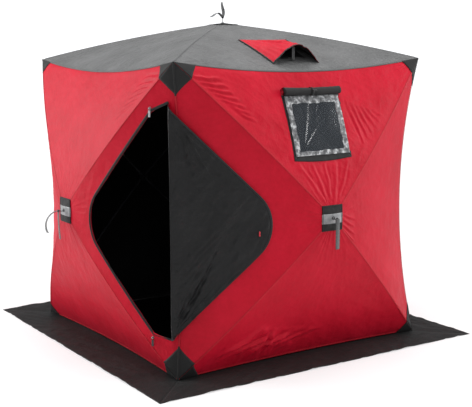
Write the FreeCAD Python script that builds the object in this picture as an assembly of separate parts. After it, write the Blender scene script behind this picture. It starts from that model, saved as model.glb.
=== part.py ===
"""Pop-up hub shelter for ice fishing.

A square fabric cabin with no floor. Every wall and the roof has a hub in its middle that pops outwards
and carries four fibreglass poles, which run to the corners under the seams of the fabric. A half-diamond
door at the front-left corner is folded back over the front wall, a clear window sits high in the front
wall, and a hooded vent sits on the front slope of the roof.

Frame: +Z up, origin on the ground under the middle of the cabin, front wall towards -Y, millimetres.
"""
import FreeCAD
import Part
import math
import os

from FreeCAD import Vector

# ---------------------------------------------------------------- driving dimensions, millimetres
HALF_WIDTH = 900.0         # from the middle of the cabin to a corner, along X and along Y
CORNER_HEIGHT = 1800.0     # ground to the roof's corners
ROOF_PEAK = 2030.0         # ground to the roof fabric at its hub
HUB_HEIGHT = 890.0         # ground to the middle of a wall hub
HUB_POP_OUT = 270.0        # how far a wall's fabric stands out at its hub
RIDGE_BOW = 36.0           # outward bow of a wall's pole seams
ROOF_RIDGE_BOW = 20.0      # upward bow of the roof's pole seams
EAVE_SAG = 65.0            # dip of the eave between two corners
SEAM_PULL = 100.0          # how far a corner seam is drawn in, half way up, along the diagonal
HEM_PULL = 40.0            # how far a wall's bottom hem is drawn in, half way along
CLOTH = 2.0                # thickness of every fabric solid
SEAM_GAP = 5.0             # room between a fabric panel and the seam along its edge
RIDGE_GAP = 2.5            # room between a fabric panel and the middle of a pole seam
HUB_HOLE = 0.035           # share of the way to the corner where the fabric starts round a hub

HUB_RADIUS = 34.0
HUB_THICKNESS = 22.0
HUB_DEPTH = 22.0           # fabric's point over the hub to the middle of the hub
HUB_BORE = 3.5             # radius of the hub's middle hole, for the pull cord
SLOT_WIDTH = 9.0
SLOT_BOTTOM = 17.0         # hub axis to the bottom of a slot
PIN_CIRCLE = 27.0          # hub axis to a pole's pin
PIN_RADIUS = 2.5
PIN_LENGTH = 24.0
PIN_HOLE = 2.56
TONGUE_WIDTH = 8.0
TONGUE_RADIUS = 6.5
TONGUE_LENGTH = 14.0
FERRULE_RADIUS = 7.0
FERRULE_LENGTH = 45.0
POLE_RADIUS = 5.5
POLE_BOW = 32.0
ROOF_POLE_BOW = 21.0
TIP_RADIUS = 7.5
TIP_LENGTH = 28.0
TIP_ROUNDING = 5.0
TIP_SHARE = 0.955          # share of the way to the corner where a pole ends
TIP_DEPTH = 13.0           # pole's end under the fabric

SKIRT_WIDTH = 265.0
SKIRT_OVERLAP = 50.0
SKIRT_THICKNESS = 3.0
HEM_HEIGHT = 8.0           # ground to the walls' bottom edge

PATCH_SIZE = 152.0
PATCH_LIFT = 4.0
CORNER_LIFT = 5.5
PATCH_THICKNESS = 1.5
EYELET_RADIUS = 6.0
STRAP_WIDTH = 28.0
STRAP_THICKNESS = 2.0
STRAP_LENGTH = 180.0
STRAP_REACH = 32.0         # eyelet to the knot that holds the webbing
CURL_ANGLE = 2.1           # radians that a side wall's curled tail turns through
KNOT_RADIUS = 7.0
CORD_RADIUS = 2.0

DOOR_TOP = (785.0, 1580.0)       # along the left wall and up: the opening's three corners before rounding
DOOR_SIDE = (184.0, 860.0)
DOOR_BOTTOM = (785.0, 200.0)
DOOR_ROUNDING = 234.0            # of the side corner
DOOR_END_ROUNDING = 12.0         # of the top and bottom corners
ZIP_WIDTH = 16.0
ZIP_THICKNESS = 3.0
ZIP_LIFT = 5.5
ZIP_CLEARANCE = 2.0        # the opening's edge to the zip
ZIP_DIVISIONS = 4
ZIP_OUTWARD = (0.29, 0.957)   # (across, out) that the door's panel faces beside the zip
SLIDER_THICKNESS = 3.5
SLIDER_LENGTH = 15.0
SLIDER_WIDTH = 11.0
BRIDGE_LENGTH = 11.5
BRIDGE_WIDTH = 3.0
BRIDGE_POST = 2.5
BRIDGE_BAR = 2.0
BRIDGE_HEIGHT = 8.0
PULL_PIVOT = 7.5           # slider's underside to the middle of its pull's pin
PULL_PIN_RADIUS = 1.1
PULL_WIDTH = 15.0
PULL_ARM = 12.0
PULL_GRIP = 38.0
PULL_THICKNESS = 2.4
PULL_ARM_WIDTH = 2.0
PULL_ARM_OVERLAP = 1.0       # how far an arm runs past the pin and into the grip
SLIDER_PLACE = 0.085       # share of the slanting edge, from its corner to its slider
SLIDER_LIFT = 16.0         # wall fabric to the slider's underside, clear of the bowed zip
LEAF_HINGE = (-930.0, -846.0)    # plan position of the fold that the door turns about
LEAF_TOP = 1545.0
LEAF_BOTTOM = 240.0
LEAF_REACH = (711.0, 869.0)      # fold to the door's side point, before rounding, and its height
LEAF_ROUNDING = 218.0
LEAF_SLOPE = 0.462               # how fast the folded-back door leaves the line of the front wall
LEAF_THICKNESS = 4.0
FOLD_RADIUS = 5.0
TOGGLE_REACH = 562.0             # fold to the toggle that holds the door back
TOGGLE_HEIGHT = 815.0
TOGGLE_LIFT = 10.0
TOGGLE_RADIUS = 5.0
TOGGLE_LENGTH = 30.0
COVER_TOGGLE_OUT = 14.0
COVER_TOGGLE_UP = 12.0

WINDOW_HALF = 210.0
WINDOW_MIDDLE = -20.0
WINDOW_LOW = 1230.0
WINDOW_HIGH = 1598.0
WINDOW_FRAME = 48.0
COVER_RADIUS = 26.0
COVER_LENGTH = 410.0
COVER_HEIGHT = 1640.0

VENT_MIDDLE = -10.0
VENT_HALF = 180.0
VENT_BACK = 470.0                # from the middle of the cabin to the hood's sewn upper edge
VENT_MOUTH = 825.0
VENT_RISE = 110.0
VENT_HOLE_HALF = 120.0
VENT_HOLE_BACK = 530.0
VENT_HOLE_FRONT = 740.0
PROP_LENGTH = 78.0
PROP_WIDTH = 20.0
PROP_THICKNESS = 4.0

SIDES = {"front": 0, "right": 1, "back": 2, "left": 3}
LIMBS = {
    "upper_left": ("upper", -1), "upper_right": ("upper", 1),
    "lower_left": ("lower", -1), "lower_right": ("lower", 1),
}

ROOF_TURNS = ("lower_left", "lower_right", "upper_right", "upper_left")    # each a quarter turn on


# ---------------------------------------------------------------- places
def place(side, across, out, up):
    """A point given in a wall's own directions: across to the right as seen from outside, out, up."""
    turns = SIDES[side]
    x, y = across, -out
    for _ in range(turns):
        x, y = -y, x
    return Vector(x, y, up)


def mix(a, b, share):
    return a + (b - a) * share


def ridge(part, hand, share):
    """A pole seam, from the hub (share 0) to the corner (share 1), as (across, out, up)."""
    arch = 4.0 * share * (1.0 - share)
    if part == "roof":
        return Vector(hand * HALF_WIDTH * share, HALF_WIDTH * share,
                      ROOF_PEAK + (CORNER_HEIGHT - ROOF_PEAK) * share + ROOF_RIDGE_BOW * arch)
    corner_up = CORNER_HEIGHT if part == "upper" else HEM_HEIGHT
    out = HALF_WIDTH + HUB_POP_OUT * (1.0 - share) + RIDGE_BOW * arch
    return Vector(hand * HALF_WIDTH * share, out, HUB_HEIGHT + (corner_up - HUB_HEIGHT) * share)


DIAGONAL = SEAM_PULL / math.sqrt(2.0)
PANELS = {
    "top": (("upper", -1), ("upper", 1), Vector(0, 0, -EAVE_SAG)),
    "bottom": (("lower", -1), ("lower", 1), Vector(0, -HEM_PULL, 0)),
    "left": (("upper", -1), ("lower", -1), Vector(DIAGONAL, -DIAGONAL, 0)),
    "right": (("upper", 1), ("lower", 1), Vector(-DIAGONAL, -DIAGONAL, 0)),
    "roof": (("roof", -1), ("roof", 1), Vector(0, 0, -EAVE_SAG)),
}


def panel_point(panel, share, turn):
    """A fabric panel between two pole seams: share runs from hub to edge, turn from seam to seam."""
    first, second, pull = PANELS[panel]
    middle = mix(ridge(*first, share), ridge(*second, share), turn)
    return middle + pull * (4.0 * turn * (1.0 - turn) * share * share)


def flat_pair(panel, point):
    """The two coordinates in which a panel is a height field."""
    return (point.x, point.y) if panel == "roof" else (point.x, point.z)


def panel_at(panel, a, b):
    """The panel's (share, turn) over a place in those two coordinates, by Newton's method."""
    share, turn, step = 0.6, 0.5, 1e-4
    for _ in range(12):
        here = flat_pair(panel, panel_point(panel, share, turn))
        along = flat_pair(panel, panel_point(panel, share + step, turn))
        beside = flat_pair(panel, panel_point(panel, share, turn + step))
        m00, m10 = (along[0] - here[0]) / step, (along[1] - here[1]) / step
        m01, m11 = (beside[0] - here[0]) / step, (beside[1] - here[1]) / step
        miss = (a - here[0], b - here[1])
        size = m00 * m11 - m01 * m10
        share += (miss[0] * m11 - miss[1] * m01) / size
        turn += (m00 * miss[1] - m10 * miss[0]) / size
    return share, turn


def over_panel(panel, a, b):
    return panel_point(panel, *panel_at(panel, a, b))


def turn_margin(share):
    return RIDGE_GAP / (2.0 * HALF_WIDTH * share)


LAST_SHARE = 1.0 - SEAM_GAP / HALF_WIDTH
OUTLINE_STEPS = 14         # points along each edge of a panel that has a hole
NEAREST_RAYS = 0.015       # radians


# ---------------------------------------------------------------- thin fabric solids
def cloth(points, triangles, thickness=CLOTH, lift=0.0):
    """A closed solid of flat facets: the sheet lifted outwards, and the same sheet a thickness in."""
    normals = [Vector() for _ in points]
    for a, b, c in triangles:
        normal = (points[b] - points[a]).cross(points[c] - points[a])
        for corner in (a, b, c):
            normals[corner] = normals[corner] + normal
    for normal in normals:
        normal.normalize()
    count = len(points)
    outer = [p + n * lift for p, n in zip(points, normals)]
    inner = [p + n * (lift - thickness) for p, n in zip(points, normals)]
    edges = {(t[k], t[(k + 1) % 3]) for t in triangles for k in range(3)}
    rim = [(a, b) for a, b in edges if (b, a) not in edges]
    facets = list(triangles)
    facets += [(c + count, b + count, a + count) for a, b, c in triangles]
    facets += [(b, a, a + count) for a, b in rim]
    facets += [(b, a + count, b + count) for a, b in rim]
    shape = Part.Shape()
    shape.makeShapeFromMesh((outer + inner, facets), 0.01, True)
    shell = shape if shape.ShapeType == "Shell" else shape.Shells[0]
    solid = Part.makeSolid(shell)
    return solid.reversed() if solid.Volume < 0 else solid


def facing(points, triangles, outward):
    """The triangles, turned over if they face away from the outward direction."""
    total = Vector()
    for a, b, c in triangles:
        total = total + (points[b] - points[a]).cross(points[c] - points[a])
    return triangles if total.dot(outward) > 0 else [(c, b, a) for a, b, c in triangles]


def grid_triangles(rows, columns, closed=False):
    triangles = []
    for i in range(rows - 1):
        for j in range(columns if closed else columns - 1):
            a, b = i * columns + j, (i + 1) * columns + j
            c, d = (i + 1) * columns + (j + 1) % columns, i * columns + (j + 1) % columns
            triangles += [(a, b, c), (a, c, d)]
    return triangles


def outward_of(side, panel):
    return Vector(0, 0, 1) if panel == "roof" else place(side, 0, 1, 0)


def sheet(side, panel, local, triangles, thickness=CLOTH, lift=0.0):
    points = [place(side, p.x, p.y, p.z) for p in local]
    return cloth(points, facing(points, triangles, outward_of(side, panel)), thickness, lift)


def plain_panel(side, panel, rows=8, columns=9):
    local = []
    for i in range(rows + 1):
        share = HUB_HOLE + (LAST_SHARE - HUB_HOLE) * i / rows
        margin = turn_margin(share)
        for j in range(columns):
            local.append(panel_point(panel, share, margin + (1.0 - 2.0 * margin) * j / (columns - 1)))
    return sheet(side, panel, local, grid_triangles(rows + 1, columns))


def panel_outline(panel):
    """The panel's edge as flat pairs, once round."""
    steps = OUTLINE_STEPS
    shares = [HUB_HOLE + (LAST_SHARE - HUB_HOLE) * k / steps for k in range(steps + 1)]
    edge = turn_margin(LAST_SHARE)
    turns = [edge + (1.0 - 2.0 * edge) * k / steps for k in range(steps + 1)]
    path = [panel_point(panel, s, turn_margin(s)) for s in shares]
    path += [panel_point(panel, LAST_SHARE, t) for t in turns[1:-1]]
    path += [panel_point(panel, s, 1.0 - turn_margin(s)) for s in reversed(shares)]
    return [flat_pair(panel, p) for p in path]


def ray_hit(middle, angle, outline):
    """How far a ray from the middle runs before it leaves a closed outline."""
    dx, dy = math.cos(angle), math.sin(angle)
    best = 0.0
    for (ax, ay), (bx, by) in zip(outline, outline[1:] + outline[:1]):
        ex, ey = bx - ax, by - ay
        size = dx * ey - dy * ex
        if abs(size) < 1e-9:
            continue
        reach = ((ax - middle[0]) * ey - (ay - middle[1]) * ex) / size
        along = ((ax - middle[0]) * dy - (ay - middle[1]) * dx) / size
        if reach > 0 and -1e-9 <= along <= 1.0 + 1e-9:
            best = max(best, reach)
    return best


def ray_angles(middle, corners, others):
    """Angles from the middle through each corner, and through every other point that isn't close to one."""
    angles = [math.atan2(b - middle[1], a - middle[0]) for a, b in corners]
    for a, b in others:
        angle = math.atan2(b - middle[1], a - middle[0])
        if all(abs(angle - other) > NEAREST_RAYS for other in angles):
            angles.append(angle)
    return sorted(angles)


def ring(panel, middle, inner, outer, angles, rows):
    """Points on the panel between two outlines round the middle, row by row."""
    local = []
    for i in range(rows + 1):
        for angle in angles:
            near = ray_hit(middle, angle, inner)
            far = ray_hit(middle, angle, outer)
            reach = near + (far - near) * i / rows
            local.append(over_panel(panel, middle[0] + reach * math.cos(angle),
                                    middle[1] + reach * math.sin(angle)))
    return local


def holed_panel(side, panel, middle, hole, rows=4):
    outer = panel_outline(panel)
    ends = [outer[0], outer[OUTLINE_STEPS], outer[-1 - OUTLINE_STEPS], outer[-1]]
    angles = ray_angles(middle, hole + ends, outer)
    local = ring(panel, middle, hole, outer, angles, rows)
    return sheet(side, panel, local, grid_triangles(rows + 1, len(angles), closed=True))


def divided(path, parts):
    """A path of flat pairs with every run divided into equal parts."""
    points = []
    for (ax, ay), (bx, by) in zip(path, path[1:]):
        points += [(ax + (bx - ax) * k / parts, ay + (by - ay) * k / parts) for k in range(parts)]
    return points + path[-1:]


def band(side, panel, middle, inner, outer, thickness, lift):
    """A flat ribbon on the panel, between two outlines."""
    angles = ray_angles(middle, inner, outer + divided(inner + inner[:1], 8)[:-1])
    local = ring(panel, middle, inner, outer, angles, 1)
    return sheet(side, panel, local, grid_triangles(2, len(angles), closed=True), thickness, lift)


def rectangle(low_a, low_b, high_a, high_b):
    return [(low_a, low_b), (high_a, low_b), (high_a, high_b), (low_a, high_b)]


def rounded_point(before, tip, after, radius, steps=8):
    """Points of an arc that rounds the corner at tip."""
    a, p, b = Vector(*before, 0), Vector(*tip, 0), Vector(*after, 0)
    u, v = (a - p).normalize(), (b - p).normalize()
    half = math.acos(u.dot(v)) / 2.0
    middle = p + (u + v).normalize() * (radius / math.sin(half))
    first = p + u * (radius / math.tan(half)) - middle
    start = math.atan2(first.y, first.x)
    sweep = math.pi - 2.0 * half
    turn = 1.0 if u.cross(v).z < 0 else -1.0
    points = []
    for k in range(steps + 1):
        angle = start + turn * sweep * k / steps
        points.append((middle.x + radius * math.cos(angle), middle.y + radius * math.sin(angle)))
    return points


def door_corners(grow):
    """The opening's bottom, top and side corners in the left wall, (across, up), moved outwards by grow."""
    corners = [Vector(*DOOR_BOTTOM, 0), Vector(*DOOR_TOP, 0), Vector(*DOOR_SIDE, 0)]
    moved = []
    for k, corner in enumerate(corners):
        u = (corners[k - 1] - corner).normalize()
        v = (corners[(k + 1) % 3] - corner).normalize()
        half = math.acos(u.dot(v)) / 2.0
        moved.append(corner - (u + v).normalize() * (grow / math.sin(half)))
    return [(corner.x, corner.y) for corner in moved]


def door_outline(grow=0.0):
    """The opening's edge: a half diamond with three rounded corners, from its straight edge round to it."""
    bottom, top, side = door_corners(grow)
    path = rounded_point(bottom, top, side, DOOR_END_ROUNDING + grow, 5)
    path += rounded_point(top, side, bottom, DOOR_ROUNDING + grow)
    return path + rounded_point(side, bottom, top, DOOR_END_ROUNDING + grow, 5)


# ---------------------------------------------------------------- fabric
DOOR_MIDDLE = (600.0, 868.0)
WINDOW_CENTRE = (WINDOW_MIDDLE, (WINDOW_LOW + WINDOW_HIGH) / 2.0)
VENT_CENTRE = (VENT_MIDDLE, (VENT_HOLE_BACK + VENT_HOLE_FRONT) / 2.0)


def window_rectangle(inset):
    return rectangle(WINDOW_MIDDLE - WINDOW_HALF + inset, WINDOW_LOW + inset,
                     WINDOW_MIDDLE + WINDOW_HALF - inset, WINDOW_HIGH - inset)


def vent_rectangle(grow):
    return rectangle(VENT_MIDDLE - VENT_HOLE_HALF - grow, VENT_HOLE_BACK - grow,
                     VENT_MIDDLE + VENT_HOLE_HALF + grow, VENT_HOLE_FRONT + grow)


def wall(side):
    solids = []
    for panel in ("top", "bottom", "left", "right"):
        if side == "front" and panel == "top":
            solids.append(holed_panel(side, panel, WINDOW_CENTRE, window_rectangle(WINDOW_FRAME)))
        elif side == "left" and panel == "right":
            solids.append(holed_panel(side, panel, DOOR_MIDDLE, door_outline()))
        else:
            solids.append(plain_panel(side, panel))
    return solids


def roof():
    solids = [holed_panel("front", "roof", VENT_CENTRE, vent_rectangle(0.0))]
    return solids + [plain_panel(side, "roof") for side in ("right", "back", "left")]


def snow_skirt():
    """Four mitred strips that lie on the ice, one along each wall."""
    inner, outer = HALF_WIDTH - SKIRT_OVERLAP, HALF_WIDTH + SKIRT_WIDTH
    solids = []
    for side in SIDES:
        corners = [(-inner + 1, inner), (inner - 1, inner), (outer - 1, outer), (-outer + 1, outer)]
        points = [place(side, a, o, 0) for a, o in corners]
        face = Part.Face(Part.makePolygon(points + points[:1]))
        solids.append(face.extrude(Vector(0, 0, SKIRT_THICKNESS)))
    return solids


def corner_patches():
    """Sewn reinforcements round the eight corners, two small triangles on each wall at each corner."""
    reach = {"top": (0.10, 0.078), "bottom": (0.09, 0.078), "left": (0.10, 0.10), "right": (0.10, 0.10)}
    solids = []
    for side in SIDES:
        for panel, (back, along) in reach.items():
            for end in (0, 1):
                local = [panel_point(panel, LAST_SHARE, abs(end - 0.004)),
                         panel_point(panel, 1.0 - back, abs(end - 0.004)),
                         panel_point(panel, LAST_SHARE, abs(end - along))]
                middles = [mix(local[k], local[(k + 1) % 3], 0.5) for k in range(3)]
                middles[2] = panel_point(panel, LAST_SHARE, abs(end - along / 2.0))
                triangles = [(0, 3, 5), (3, 1, 4), (3, 4, 5), (5, 4, 2)]
                solids.append(sheet(side, panel, local + middles, triangles, PATCH_THICKNESS, CORNER_LIFT))
    return solids


# ---------------------------------------------------------------- hubs and poles
def block(middle, length_way, length, width_way, width, height_way, height):
    low = middle - length_way * (length / 2.0) - width_way * (width / 2.0)
    along, aside = length_way * length, width_way * width
    face = Part.Face(Part.makePolygon([low, low + along, low + along + aside, low + aside, low]))
    return face.extrude(height_way * height)


def hub_frame(side):
    """(middle of the hub, out, across, up) for a wall, or the roof with up turned to the cabin's back."""
    if side == "roof":
        return Vector(0, 0, ROOF_PEAK - HUB_DEPTH), Vector(0, 0, 1), Vector(1, 0, 0), Vector(0, 1, 0)
    middle = place(side, 0, HALF_WIDTH + HUB_POP_OUT - HUB_DEPTH, HUB_HEIGHT)
    return middle, place(side, 0, 1, 0), place(side, 1, 0, 0), Vector(0, 0, 1)


def pole_end(side, limb):
    """Where the middle of a pole's outer end is."""
    height, hand = LIMBS[limb]
    if side == "roof":
        end = ridge("roof", hand, TIP_SHARE)
        return Vector(end.x, end.y if height == "upper" else -end.y, end.z - TIP_DEPTH)
    end = ridge(height, hand, TIP_SHARE)
    return place(side, end.x, end.y - TIP_DEPTH, end.z)


def pole_pivot(side, limb):
    """(pin's middle, direction from the hub axis to the pin, the pin's own direction)."""
    middle, out, _, _ = hub_frame(side)
    reach = pole_end(side, limb) - middle
    radial = (reach - out * reach.dot(out)).normalize()
    return middle + radial * PIN_CIRCLE, radial, out.cross(radial)


def hub(side):
    """A nylon disc with a slot for each pole and a hole for the pull cord."""
    middle, out, _, _ = hub_frame(side)
    back = middle - out * (HUB_THICKNESS / 2.0)
    body = Part.makeCylinder(HUB_RADIUS, HUB_THICKNESS, back, out)
    body = body.cut(Part.makeCylinder(HUB_BORE, HUB_THICKNESS, back, out))
    for limb in LIMBS:
        pin, radial, across = pole_pivot(side, limb)
        low = middle + radial * SLOT_BOTTOM - across * (SLOT_WIDTH / 2.0) - out * HUB_THICKNESS
        slot = Part.Face(Part.makePolygon([low, low + radial * HUB_RADIUS,
                                           low + radial * HUB_RADIUS + across * SLOT_WIDTH,
                                           low + across * SLOT_WIDTH, low]))
        body = body.cut(slot.extrude(out * (2.0 * HUB_THICKNESS)))
        bore = PIN_LENGTH + 1.0
        body = body.cut(Part.makeCylinder(PIN_HOLE, bore, pin - across * (bore / 2.0), across))
    return [body]


def hub_pins(side):
    solids = []
    for limb in LIMBS:
        pin, _, across = pole_pivot(side, limb)
        solids.append(Part.makeCylinder(PIN_RADIUS, PIN_LENGTH, pin - across * (PIN_LENGTH / 2.0), across))
    return solids


def bowed_pole(side, limb):
    """A bowed fibreglass rod with a flat eye in a ferrule at the hub and a rounded cap at the corner."""
    pin, _, across = pole_pivot(side, limb)
    _, out, _, _ = hub_frame(side)
    end = pole_end(side, limb)
    chord = (end - pin).normalize()
    bow = (out - chord * out.dot(chord)).normalize() * (ROOF_POLE_BOW if side == "roof" else POLE_BOW)
    start = pin + chord * TONGUE_LENGTH
    arc = Part.Arc(start, mix(start, end, 0.5) + bow, end)
    spine = Part.Wire([arc.toShape()])
    first = arc.tangent(arc.FirstParameter)[0]
    last = arc.tangent(arc.LastParameter)[0]
    rod = spine.makePipe(Part.Face(Part.Wire([Part.Circle(start, first, POLE_RADIUS).toShape()])))
    ferrule = Part.makeCylinder(FERRULE_RADIUS, FERRULE_LENGTH, start, first)
    cap = Part.makeCylinder(TIP_RADIUS, TIP_LENGTH, end - last * TIP_LENGTH, last)
    cap = cap.fuse(Part.makeCone(TIP_RADIUS, 0.6 * TIP_RADIUS, TIP_ROUNDING, end, last))
    eye = Part.makeCylinder(TONGUE_RADIUS, TONGUE_WIDTH, pin - across * (TONGUE_WIDTH / 2.0), across)
    side_way = first.cross(across)
    tongue_length = TONGUE_LENGTH + TONGUE_RADIUS
    middle = pin + first * (tongue_length / 2.0) - across * (TONGUE_WIDTH / 2.0)
    eye = eye.fuse(block(middle, first, tongue_length, side_way, 2.0 * TONGUE_RADIUS, across, TONGUE_WIDTH))
    body = rod.fuse([ferrule, cap, eye])
    return body.cut(Part.makeCylinder(PIN_HOLE, 2.0 * TONGUE_WIDTH, pin - across * TONGUE_WIDTH, across))


def pole(side, limb):
    """The front wall's pole turned round to the other walls, or the roof's first pole to the others."""
    if side == "roof":
        quarter_turns = ROOF_TURNS.index(limb)
        body = bowed_pole("roof", "lower_left")
    else:
        quarter_turns = SIDES[side]
        body = bowed_pole("front", limb)
    body.rotate(Vector(), Vector(0, 0, 1), 90.0 * quarter_turns)
    return [body]


def hub_patch(side):
    """The square patch sewn over a hub, with an eyelet hole for the pull cord."""
    middle, out, across, up = hub_frame(side)
    peak = middle + out * HUB_DEPTH
    drop, bow, reach = HUB_POP_OUT, RIDGE_BOW, HALF_WIDTH
    if side == "roof":
        drop, bow = ROOF_PEAK - CORNER_HEIGHT, ROOF_RIDGE_BOW
    steps = [-0.5, -0.34, -0.17, 0.17, 0.34, 0.5]
    points = []
    for b in steps:
        for a in steps:
            share = max(abs(a), abs(b)) * PATCH_SIZE / reach
            fall = drop * share - 4.0 * share * (1.0 - share) * bow
            points.append(peak + across * (a * PATCH_SIZE) + up * (b * PATCH_SIZE) - out * fall)
    triangles = []
    for i in range(len(steps) - 1):
        for j in range(len(steps) - 1):
            a, b = i * len(steps) + j, (i + 1) * len(steps) + j
            if (steps[i] + steps[i + 1]) * (steps[j] + steps[j + 1]) > 0:
                triangles += [(a, b, b + 1), (a, b + 1, a + 1)]
            else:
                triangles += [(a, b, a + 1), (b, b + 1, a + 1)]
    solid = cloth(points, facing(points, triangles, out), PATCH_THICKNESS, PATCH_LIFT)
    return [solid.cut(Part.makeCylinder(EYELET_RADIUS, 60.0, peak - out * 30.0, out))]


def webbing(start, run, width_way, thickness_way, length):
    """One straight tail of webbing."""
    middle = start + run * (length / 2.0)
    return block(middle, run, length, width_way, STRAP_WIDTH, thickness_way, STRAP_THICKNESS)


def curled_tail(start, half, tip, width_way):
    """A tail of webbing that curls over: an arc through three points, swept by the webbing's section."""
    arc = Part.Arc(start, half, tip)
    first = arc.tangent(arc.FirstParameter)[0]
    thin = first.cross(width_way).normalize() * STRAP_THICKNESS
    low = start - width_way * (STRAP_WIDTH / 2.0) - thin * 0.5
    across = width_way * STRAP_WIDTH
    section = Part.Face(Part.makePolygon([low, low + across, low + across + thin, low + thin, low]))
    return Part.Wire([arc.toShape()]).makePipe(section)


def pull_strap(side):
    """A cord out of the eyelet, a knot, and a doubled webbing strap to pull the hub out by."""
    middle, out, across, up = hub_frame(side)
    eyelet = middle + out * (HUB_DEPTH + PATCH_LIFT + 2.0)
    knot = eyelet + out * STRAP_REACH
    parts = [Part.makeCylinder(CORD_RADIUS, STRAP_REACH, eyelet, out), Part.makeSphere(KNOT_RADIUS, knot)]
    if side == "roof":
        parts.append(webbing(knot, out, up, across, 0.55 * STRAP_LENGTH))
        parts.append(curled_tail(knot, knot + out * 30.0 - across * 38.0, knot - across * 100.0, up))
    elif side in ("front", "back"):
        parts.append(webbing(knot - out * 3.0, -up, across, out, STRAP_LENGTH))
        parts.append(webbing(knot + out * 3.0, -up, across, out, STRAP_LENGTH * 0.97))
    else:
        reach = STRAP_LENGTH / CURL_ANGLE
        half, tip = (knot + out * (reach * math.sin(angle)) - up * (reach * (1.0 - math.cos(angle)))
                     for angle in (CURL_ANGLE / 2.0, CURL_ANGLE))
        parts.append(webbing(knot, -up, across, out, STRAP_LENGTH))
        parts.append(curled_tail(knot, half, tip, across))
    return [parts[0].fuse(parts[1:])]


# ---------------------------------------------------------------- door
def leaf_direction():
    return Vector(1.0, -LEAF_SLOPE, 0).normalize()


def door_leaf():
    """The door, folded back over the front wall: a flat half diamond that hangs on the fold line."""
    way = leaf_direction()
    out = Vector(way.y, -way.x, 0)
    outline = [(0.0, LEAF_BOTTOM), (0.0, LEAF_TOP)]
    outline += rounded_point((0.0, LEAF_TOP), LEAF_REACH, (0.0, LEAF_BOTTOM), LEAF_ROUNDING)
    fold = Vector(*LEAF_HINGE, 0)
    points = [fold + way * a + Vector(0, 0, b) - out * (LEAF_THICKNESS / 2.0) for a, b in outline]
    face = Part.Face(Part.makePolygon(points + points[:1]))
    rolled_edge = Part.makeCylinder(FOLD_RADIUS, LEAF_TOP - LEAF_BOTTOM, fold + Vector(0, 0, LEAF_BOTTOM))
    return [face.extrude(out * LEAF_THICKNESS).fuse(rolled_edge)]


def door_zip():
    """The zip's tape and teeth along the opening's two slanting edges and round its side."""
    edges = (ZIP_CLEARANCE, ZIP_CLEARANCE + ZIP_WIDTH)
    rows = [divided(door_outline(grow), ZIP_DIVISIONS) for grow in edges]
    local = [over_panel("right", a, b) for row in rows for a, b in row]
    return [sheet("left", "right", local, grid_triangles(2, len(rows[0])), ZIP_THICKNESS, ZIP_LIFT)]


def zip_run(end):
    """(a point of the zip near its top or bottom end, the way along it to the side, the wall's outward)."""
    bottom, top, side = door_corners(ZIP_CLEARANCE + ZIP_WIDTH / 2.0)
    corner = top if end == "top" else bottom
    slant = [mix(Vector(*corner, 0), Vector(*side, 0), share) for share in (SLIDER_PLACE, 0.5)]
    near, far = (over_panel("right", point.x, point.y) for point in slant)
    near = place("left", near.x, near.y, near.z)
    far = place("left", far.x, far.y, far.z)
    way = (far - near).normalize()
    out = place("left", *ZIP_OUTWARD, 0)
    return near, way, (out - way * out.dot(way)).normalize()


def zip_slider(end):
    """A metal slider body with a raised bridge that the pull hangs on."""
    near, way, out = zip_run(end)
    across = out.cross(way)
    base = near + out * SLIDER_LIFT
    body = block(base, way, SLIDER_LENGTH, across, SLIDER_WIDTH, out, SLIDER_THICKNESS)
    top = base + out * SLIDER_THICKNESS
    post_place = (BRIDGE_LENGTH - BRIDGE_POST) / 2.0
    posts = [block(top + way * shift, way, BRIDGE_POST, across, BRIDGE_WIDTH, out, BRIDGE_HEIGHT)
             for shift in (-post_place, post_place)]
    lintel = top + out * (BRIDGE_HEIGHT - BRIDGE_BAR / 2.0)
    bar = block(lintel, way, BRIDGE_LENGTH, across, BRIDGE_WIDTH, out, BRIDGE_BAR)
    return [body.fuse(posts + [bar])]


def zip_pull(end):
    """The pull: a pin under the slider's bridge, two arms, and a long grip that hangs straight down."""
    near, _, out = zip_run(end)
    pivot = near + out * (SLIDER_LIFT + PULL_PIVOT)
    across = out.cross(Vector(0, 0, 1)).normalize()
    level = Vector(0, 0, 1).cross(across) * -1.0
    down = Vector(0, 0, -1)
    pin = Part.makeCylinder(PULL_PIN_RADIUS, PULL_WIDTH, pivot - across * (PULL_WIDTH / 2.0), across)
    front = pivot - level * PULL_PIN_RADIUS
    reach = (PULL_WIDTH - PULL_ARM_WIDTH) / 2.0
    arms = [block(front + across * shift + down * (PULL_ARM / 2.0), down, PULL_ARM + 2.0 * PULL_ARM_OVERLAP,
                  across, PULL_ARM_WIDTH, level, PULL_THICKNESS) for shift in (-reach, reach)]
    grip_middle = front + down * (PULL_ARM + PULL_GRIP / 2.0)
    grip = block(grip_middle, down, PULL_GRIP, across, PULL_WIDTH, level, PULL_THICKNESS)
    return [pin.fuse(arms + [grip])]


def tie_toggles():
    """The toggle that holds the door back, and the toggle of the window cover's tie."""
    way = leaf_direction()
    door = Vector(*LEAF_HINGE, TOGGLE_HEIGHT) + way * TOGGLE_REACH + Vector(way.y, -way.x, 0) * TOGGLE_LIFT
    high = over_panel("top", WINDOW_MIDDLE, COVER_HEIGHT)
    cover = place("front", high.x, high.y + 2.0 * COVER_RADIUS + COVER_TOGGLE_OUT, high.z + COVER_TOGGLE_UP)
    half = TOGGLE_LENGTH / 2.0
    return [Part.makeCylinder(TOGGLE_RADIUS, TOGGLE_LENGTH, door - Vector(0, 0, half), Vector(0, 0, 1)),
            Part.makeCylinder(TOGGLE_RADIUS, TOGGLE_LENGTH, cover - Vector(half, 0, 0), Vector(1, 0, 0))]


# ---------------------------------------------------------------- window and vent
def window_frame():
    """Hook-and-loop band sewn round the opening."""
    inner, outer = window_rectangle(WINDOW_FRAME + 2.0), window_rectangle(0.0)
    return [band("front", "top", WINDOW_CENTRE, inner, outer, 1.5, 3.0)]


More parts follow.
